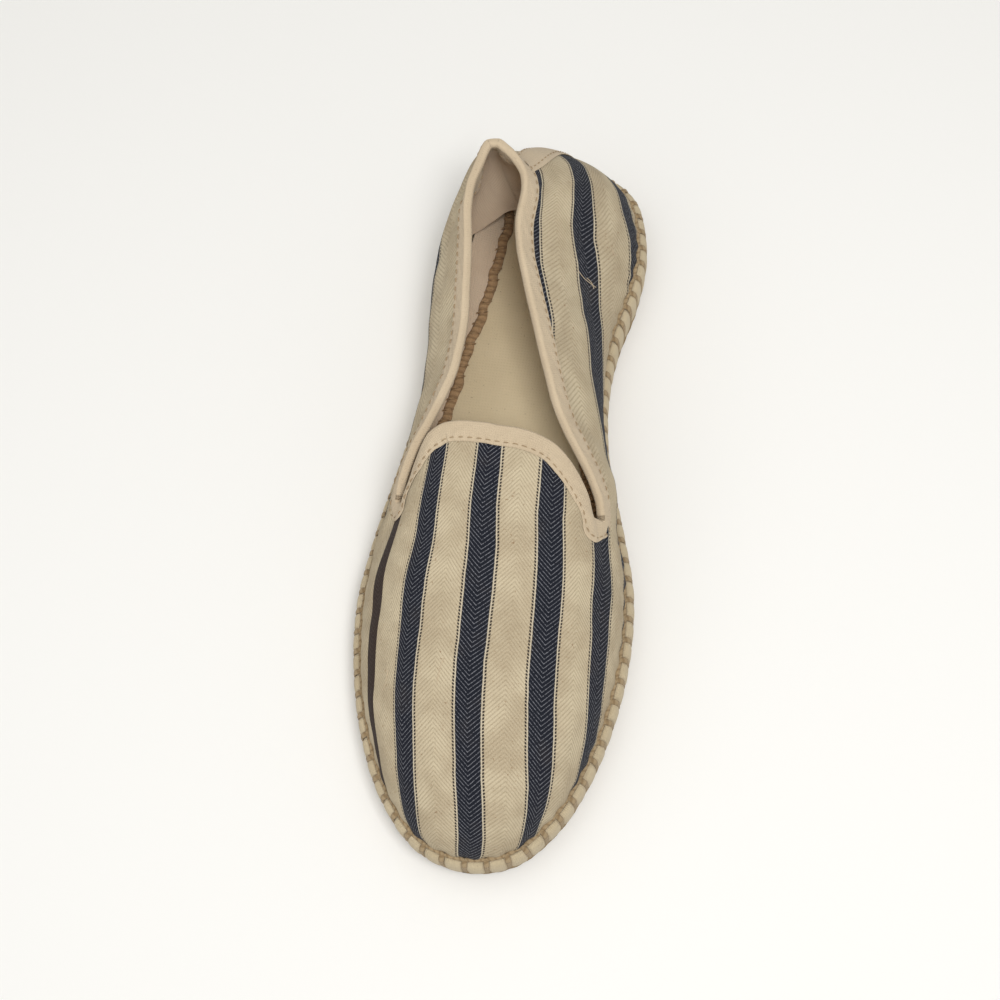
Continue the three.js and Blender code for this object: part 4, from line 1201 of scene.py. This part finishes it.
# %% Insole
INSOLE_EASE = 0.4
INSOLE_INSET = FEATHER_INSET + WALL + INSOLE_EASE
INSOLE_TOP = FOOT_HEIGHT + INSOLE_THICKNESS
INSOLE_RINGS, INSOLE_STEPS = 40, 240
# share of the outline, then mm inside it to the insole's stitched edge
INSOLE_EDGE = [
    (0.0, 8),
    (0.3, 9),
    (0.45, 10),
    (0.542, 9.3),
    (0.562, 13.5),
    (0.583, 15.7),
    (0.605, 15.7),
    (0.637, 13.9),
    (0.663, 12.3),
    (0.704, 11.5),
    (0.8, 9),
    (1.0, 8),
]
TURN_RINGS = 8                 # rings of the lining that turns in between the wall and that edge
TURN_RISE = 3.5                # mm that its outer rim climbs the wall
TURN_OVER = 0.3                # and its inner rim stands over the sock
CENTRE_LENGTH = 0.86           # the rings close on a line of this share of the insole's length
DENTS = [                      # across, along, half width, half length and depth in mm
    (8, 100, 20, 24, 1.0),
    (4, -70, 30, 34, 1.1),
]


def insole_edge(share):
    """Plan of the insole's stitched edge."""
    share = np.asarray(share, float) % 1
    inset = placed_curve(column(INSOLE_EDGE, 0), column(INSOLE_EDGE, 1))(share)
    return outline.at(share) - outline.outward(share) * inset[..., None]


def make_insole():
    share = np.arange(INSOLE_STEPS) / INSOLE_STEPS
    rim = outline.at(share) - outline.outward(share) * INSOLE_INSET
    edge = insole_edge(share)
    centre = np.stack([np.mean(feather_sides(edge[:, 1]), axis=0), edge[:, 1] * CENTRE_LENGTH], -1)
    turn = np.linspace(0, 1, TURN_RINGS, endpoint=False)[:, None, None]
    k = np.linspace(0, 1, INSOLE_RINGS)[:, None, None] ** 0.8
    plan = np.concatenate([rim * (1 - turn) + edge * turn, edge * (1 - k) + centre * k])
    x, y = plan[..., 0], plan[..., 1]
    height = np.full(x.shape, float(INSOLE_TOP))
    height[:TURN_RINGS] += TURN_RISE * (1 - turn[..., 0]) ** 2 + TURN_OVER
    for middle, along, half_width, half_length, depth in DENTS:
        height -= depth * np.exp(-((x - middle) / half_width) ** 2 - ((y - along) / half_length) ** 2)
    height += 0.18 * np.sin(x * 0.21 + y * 0.06) + 0.12 * np.sin(y * 0.19 - x * 0.1 + 1)
    points = lifted(np.stack([x, y, height], -1)).transpose(1, 0, 2)
    # painted shade on the turned-in lining and in a narrow band along the insole's stitched edge, by the
    # wall
    edge_shade = np.full(x.shape, 0.15)
    edge_shade[TURN_RINGS:] = 0.45 * np.exp(-k[..., 0] * 14)
    weave = np.stack([x, y, edge_shade], -1).transpose(1, 0, 2)
    rings = TURN_RINGS + INSOLE_RINGS
    faces = grid_faces(INSOLE_STEPS, rings, closed=True)
    is_sock = faces[:, 0] % rings >= TURN_RINGS
    return make_mesh("insole_canvas", points, faces, [patch_cloth, insole_cloth], weave,
                     finish=is_sock)


insole_cloth = make_plain_cloth("insole_cloth", "dac9a8", "ccba97", pitch=1.1, depth=0.06,
                                spots="6d5138", spot_share=0.6)
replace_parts(make_insole(), "insole")

# %% [markdown]
# Jute braid, laid edge to edge in a spiral, makes the sole. Twine holds the upper to it. Both are bast
# fibre: pale brown, hairy and twisted. The braid's plaits are drawn along each row as slanted strands.

# %% Jute and twine
def make_jute(name, base, shade, twist, depth):
    """Twisted bast fibre; base and shade are its two tones, twist the mm for one turn of a strand."""
    finish = Finish(name, roughness=0.95, sheen=0.1, specular=0.15)
    _, along, around, _ = finish.place()
    strand = finish.wave(finish.plus(finish.math("DIVIDE", along, twist), around), 1.0)
    fibre = finish.noise(finish.stretch(finish.solid(), 1.6, 1.6, 1.6), 1.0, 4, 0.65)
    colour = finish.mix(fibre, paint(shade), paint(base))
    finish.colour(finish.tint(colour, "6e5739", finish.between(strand, 0.0, 0.45, 1, 0), 0.5))
    finish.bump(fibre, depth, finish.bump(strand, depth))
    return finish.material


twine_finish = make_jute("twine", "b5a07f", "8d7759", twist=2.2, depth=0.12)
plait_finish = make_jute("jute_plait", "b59d75", "937a55", twist=6.0, depth=0.5)
cord_finish = make_jute("insole_cord", "c2a27c", "906e4c", twist=2.4, depth=0.3)

# %% [markdown]
# The cord along the insole's edge is a rough, flattened roll with brown stitches over it. It shows on the
# outer side, where the wall leans away from the foot.

# %% Insole cord
CORD_RADIUS = 1.8
CORD_FLAT = 0.55               # its height as a share of its width
CORD_STEPS = 420
CORD_OVER = 0.3                # its middle over the insole
CORD_WRAP = 4.4                # mm between the stitches over it
WRAP_RADIUS = 0.36
WRAP_OVER = (0.35, 0.25)       # how far a stitch stands off the cord, sideways and upwards
WRAP_SLANT = 0.9               # mm along the cord for each radian over it


def make_insole_cord():
    bundle = Bundle()
    share = np.arange(CORD_STEPS) / CORD_STEPS
    line = PlanLoop(insole_edge(share))
    travel = share * line.length
    wobble = 0.35 * np.sin(travel / 2.1) + 0.35 * np.sin(travel / 5.3 + 1) + 0.2 * np.sin(travel / 1.1)
    plan = line.at(share) + line.outward(share) * wobble[:, None]
    height = INSOLE_TOP + CORD_OVER + 0.2 * np.sin(travel / 3.1)
    bundle.thread(lifted(np.column_stack([plan, height])), CORD_RADIUS, sides=8, closed=True,
                  flat=CORD_FLAT)
    arc = np.linspace(-1.2, 1.2, 7)
    across = np.sin(arc) * (CORD_RADIUS + WRAP_OVER[0])
    height = INSOLE_TOP + CORD_OVER + np.cos(arc) * (CORD_RADIUS * CORD_FLAT + WRAP_OVER[1])
    for k in range(int(line.length / CORD_WRAP)):
        share = ((k + 0.5) * CORD_WRAP + arc * WRAP_SLANT) / line.length
        plan = line.at(share) + line.outward(share) * across[:, None]
        bundle.thread(lifted(np.column_stack([plan, height])), WRAP_RADIUS, sides=5)
    return bundle.build("insole_cord", cord_finish)


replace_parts(make_insole_cord(), "insole")

# %% [markdown]
# A soft cotton tape stands round the sole's edge, and every stitch of the twine pulls a groove into it,
# so that it swells between them like a row of small cushions.

# %% Rand
rand_cloth = make_plain_cloth("rand_tape", "d2c2a3", "bfad8c", pitch=0.7, depth=0.14,
                              spots="8a6f55", spot_share=0.65)
# section from the inner lower edge outwards: share of its height, inset as a share of RAND_THICKNESS,
# share of the groove's depth
RAND_SECTION = [
    (0.06, 1.0, 0.0),
    (0.01, 0.75, 0.2),
    (0.0, 0.45, 0.5),
    (0.03, 0.18, 0.8),
    (0.1, 0.04, 1.0),
    (0.25, 0.0, 1.0),
    (0.45, -0.03, 1.0),
    (0.65, 0.0, 1.0),
    (0.8, 0.07, 1.0),
    (0.91, 0.22, 1.0),
    (0.98, 0.45, 0.8),
    (1.0, 0.7, 0.6),
    (0.98, 0.92, 0.4),
    (0.9, 1.08, 0.2),
]
STEPS_PER_BLOCK = 12
GROOVE = 0.85                  # mm that a stitch pulls in
GROOVE_HALF = 0.13             # half width of the groove as a share of a block
BLOCK_SWELL = 0.25             # mm that a block swells out between its grooves
BLOCK_SPREAD = 0.5             # mm that it grows in height, and shrinks in the grooves
RAND_OVER = 0.6                # mm that the tape stands over the sole
RAND_HEIGHT = SOLE_HEIGHT + RAND_OVER - RAND_BOTTOM
SECTION_SPACING = 1.6          # mm of tape from one row of the section to the next
rng = np.random.default_rng(7)
block_size = rng.uniform(0.75, 1.2, BLOCKS)
block_tilt = rng.uniform(-0.25, 0.25, BLOCKS)


def on_edge(share, height, inset):
    """Points at shares of the outline, a height over the floor and a distance inside the edge."""
    plan = outline.at(share) - outline.outward(share) * np.asarray(inset)[..., None]
    return lifted(np.concatenate([plan, np.broadcast_to(height, np.shape(share))[..., None]], -1))


def make_rand():
    steps = BLOCKS * STEPS_PER_BLOCK
    share = stitch_share(np.arange(steps) / steps)
    block, within = np.divmod(np.arange(steps), STEPS_PER_BLOCK)
    within = within / STEPS_PER_BLOCK
    from_stitch = np.minimum(within, 1 - within)
    groove = np.exp(-(from_stitch / GROOVE_HALF) ** 2)
    swell = np.sin(math.pi * within) ** 0.5 * block_size[block]
    loops = []
    for up, inset, pull in RAND_SECTION:
        inward = inset * RAND_THICKNESS + pull * (GROOVE * groove - BLOCK_SWELL * swell)
        inward = inward + block_tilt[block] * (within - 0.5) * pull * (1 - groove)
        height = RAND_BOTTOM + up * RAND_HEIGHT + (up - 0.5) * BLOCK_SPREAD * (swell - groove)
        loops.append(on_edge(share, height, inward))
    across = SECTION_SPACING * np.arange(len(RAND_SECTION))
    # painted shade in the grooves that the stitches pull in, and on the tape's underside
    painted_shade = 0.35 * groove[:, None] + 0.3 * np.exp(-column(RAND_SECTION, 0) * 6)
    weave = np.stack(np.broadcast_arrays(share[:, None] * outline.length, across, painted_shade), -1)
    faces = grid_faces(steps, len(RAND_SECTION), closed=True, tube=True)
    return make_mesh("rand_tape", np.stack(loops, 1), faces, [rand_cloth], weave)


rand = make_rand()
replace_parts(rand, "rand")

# %% [markdown]
# The twine goes through the sole's edge, up over the tape and into the canvas, and each stitch is linked
# to the next by a run along the top. That is a blanket stitch, done by hand with a curved needle.

# %% Blanket stitch
TWINE = 1.0                    # half width of the flattened twine
# route of one stitch from below: height over the tape's lower edge as a share, inset in mm
STITCH_ROUTE = [
    (-0.06, 3.0),
    (-0.09, 1.8),
    (0.0, 0.9),
    (0.2, 0.4),
    (0.5, 0.3),
    (0.8, 0.4),
    (0.98, 0.95),
    (1.04, 1.8),
    (1.04, 2.7),
    (0.98, 3.5),
]


TWINE_LEAN = 0.12              # most that a stitch slants, as a share of a block
RUN_HEIGHT = RAND_BOTTOM + RAND_HEIGHT * 1.05   # the run along the top, its inset and how far it sags
RUN_INSET = 3.0
RUN_SAG, RUN_SAG_IN = 0.1, 0.25
RUN_SHARE = 0.85               # its thickness as a share of the twine's


def make_twine():
    bundle = Bundle()
    fine = np.linspace(0, len(STITCH_ROUTE) - 1, 19)
    up, inset = (np.interp(fine, range(len(STITCH_ROUTE)), column(STITCH_ROUTE, k)) for k in (0, 1))
    run = np.linspace(0, 1, 9)
    sag = np.sin(math.pi * run)
    lean = rng.uniform(-TWINE_LEAN, TWINE_LEAN, BLOCKS)
    for k in range(BLOCKS):
        share = stitch_share((k + lean[k] * (up - 0.5)) / BLOCKS)
        tangent = np.append(outline.outward(share[:1])[0, ::-1] * (-1, 1), 0)
        bundle.thread(on_edge(share, RAND_BOTTOM + up * RAND_HEIGHT, inset), TWINE, sides=8, flat=0.5,
                      side=np.broadcast_to(tangent, (len(share), 3)))
        inward = RUN_INSET + RUN_SAG_IN * sag * rng.uniform(0.4, 1.3)
        bundle.thread(on_edge(stitch_share((k + run) / BLOCKS), RUN_HEIGHT - RUN_SAG * sag, inward),
                      TWINE * RUN_SHARE, sides=7, flat=0.6)
    return bundle.build("twine", twine_finish)


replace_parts(make_twine(), "rand")

# %% [markdown]
# Seen from below and from the side, the sole is rows of plait. They are modelled as rounded rows with a
# groove between them, from the edge inwards, and the strands are drawn along each row.

# %% Jute sole
ROW_WIDTH = 6.6                # of a row of plait
ROW_GROOVE = 0.9               # depth of the groove between two rows
PLAIT_PITCH = 5.5              # mm of plait from one lump to the next
ROW_SHIFT = 0.37               # of the lumps from row to row, in pitches
SOLE_STEPS = 420
RING_STEP = 0.9                # mm between the rings of the underside
UNDER_INSET = 2.6              # where the underside starts
UNDER_REACH = 34               # and the inset at which its rings end
UNDER_CLEAR = 0.02             # its lowest points stand this little over the floor
LEDGE = FEATHER_INSET          # inset of the ledge that carries the rand
# the sole's edge from its top to its underside: height and inset in mm
SOLE_EDGE = [
    (SOLE_HEIGHT, LEDGE + 1.2),
    (SOLE_HEIGHT - 1, LEDGE),
    (RAND_BOTTOM + 0.6, LEDGE),
    (RAND_BOTTOM - 0.4, 1.6),
    (RAND_BOTTOM - 1.0, 0.9),
    (4.0, 0.55),
    (3.2, 0.6),
    (2.9, 0.9),
    (2.6, 0.65),
    (1.6, 0.6),
    (0.8, 0.95),
    (0.25, 1.7),
    (0.05, 2.6),
]


def make_sole():
    share = np.arange(SOLE_STEPS) / SOLE_STEPS
    travel = share * outline.length
    rows, strand = [], []
    for height, inset in SOLE_EDGE:
        plait = 0.28 * np.abs(np.sin(math.pi * (travel / PLAIT_PITCH + height * 0.18)))
        rows.append(on_edge(share, height, inset - plait * (height < RAND_BOTTOM)))
        strand.append(height / 3.0)
    depth = UNDER_INSET
    while depth < UNDER_REACH:
        depth += RING_STEP
        row, within = divmod((depth - UNDER_INSET) / ROW_WIDTH, 1)
        hollow = 1 - math.sqrt(1 - (2 * within - 1) ** 2)
        chevron = abs(within - 0.5) * 2
        lumps = 0.22 * (1 - np.cos(2 * math.pi * (travel / PLAIT_PITCH + chevron * 0.9 + row * ROW_SHIFT)))
        height = UNDER_CLEAR + ROW_GROOVE * hollow + lumps * (1 - hollow)
        rows.append(on_edge(share, height, np.full(SOLE_STEPS, depth)))
        strand.append(chevron * 1.6)
    centre = rows[-1].copy()
    centre[:, 0] = np.mean(feather_sides(centre[:, 1]), axis=0)
    rows.append(centre)
    strand.append(strand[-1])
    weave = np.stack(np.broadcast_arrays(travel[:, None], np.array(strand), 0.0), -1)
    faces = grid_faces(SOLE_STEPS, len(rows), closed=True)[:, ::-1]
    return make_mesh("jute_sole", np.stack(rows, 1), faces, [plait_finish], weave)


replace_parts(make_sole(), "sole")

# %% [markdown]
# The photograph is a plain studio shot on white, from above the toe. The camera keeps its viewpoint and
# lens and turns to the shoe. Soft lights from the right, the left and above give its gentle shadows.

# %% Floor, lights and camera
CAMERA_PLACE = (64.7, -188.5, 641.0)
CAMERA_AIM = (-1.0, -2.0, 20.0)
CAMERA_ROLL = -10.9            # degrees, as the photograph is held
LENS, SENSOR = 65.9, 36        # focal length and width of the sensor in mm
NEAREST_SEEN = 0.01            # metres
FLOOR_SIZE = 8                 # metres
SKY_STRENGTH = 0.42


floor_paper = bpy.data.materials.new("floor_paper")
floor_paper.use_nodes = True
surface = floor_paper.node_tree.nodes["Principled BSDF"]
surface.inputs["Base Color"].default_value = paint("f4f3f0")
surface.inputs["Roughness"].default_value = 0.9
bpy.ops.mesh.primitive_plane_add(size=FLOOR_SIZE)
floor = bpy.context.object
floor.name = "floor"
floor.data.materials.append(floor_paper)

bpy.context.scene.view_settings.view_transform = "Standard"
world = bpy.data.worlds.new("studio")
bpy.context.scene.world = world
world.use_nodes = True
sky = world.node_tree.nodes["Background"].inputs
sky["Color"].default_value = paint("fbfaf6")
sky["Strength"].default_value = SKY_STRENGTH


def aim(thing, place, target, roll=0.0):
    """Puts a light or camera at a place and turns it to a target, both in mm."""
    place, target = Vector(place) * MM, Vector(target) * MM
    look = (target - place).to_track_quat("-Z", "Y").to_matrix().to_4x4()
    thing.matrix_world = Matrix.Translation(place) @ look @ Matrix.Rotation(math.radians(roll), 4, "Z")


# place in mm, size in mm, watts
LIGHTS = [
    ("key", (225, -250, 1050), 300, 5.9),
    ("fill", (-450, -200, 900), 900, 1.5),
    ("top", (100, -60, 1300), 1000, 2.4),
]
for name, place, size, power in LIGHTS:
    light = bpy.data.lights.new(name, "AREA")
    light.size, light.energy = size * MM, power
    lamp = bpy.data.objects.new(name, light)
    bpy.context.scene.collection.objects.link(lamp)
    aim(lamp, place, (0, 0, SOLE_HEIGHT))

camera = bpy.data.objects.new("camera", bpy.data.cameras.new("camera"))
bpy.context.scene.collection.objects.link(camera)
camera.data.lens = LENS
camera.data.sensor_width = SENSOR
camera.data.clip_start = NEAREST_SEEN
aim(camera, CAMERA_PLACE, CAMERA_AIM, CAMERA_ROLL)
bpy.context.scene.camera = camera
print(f"camera at {CAMERA_PLACE} mm, {len(LIGHTS)} lights")
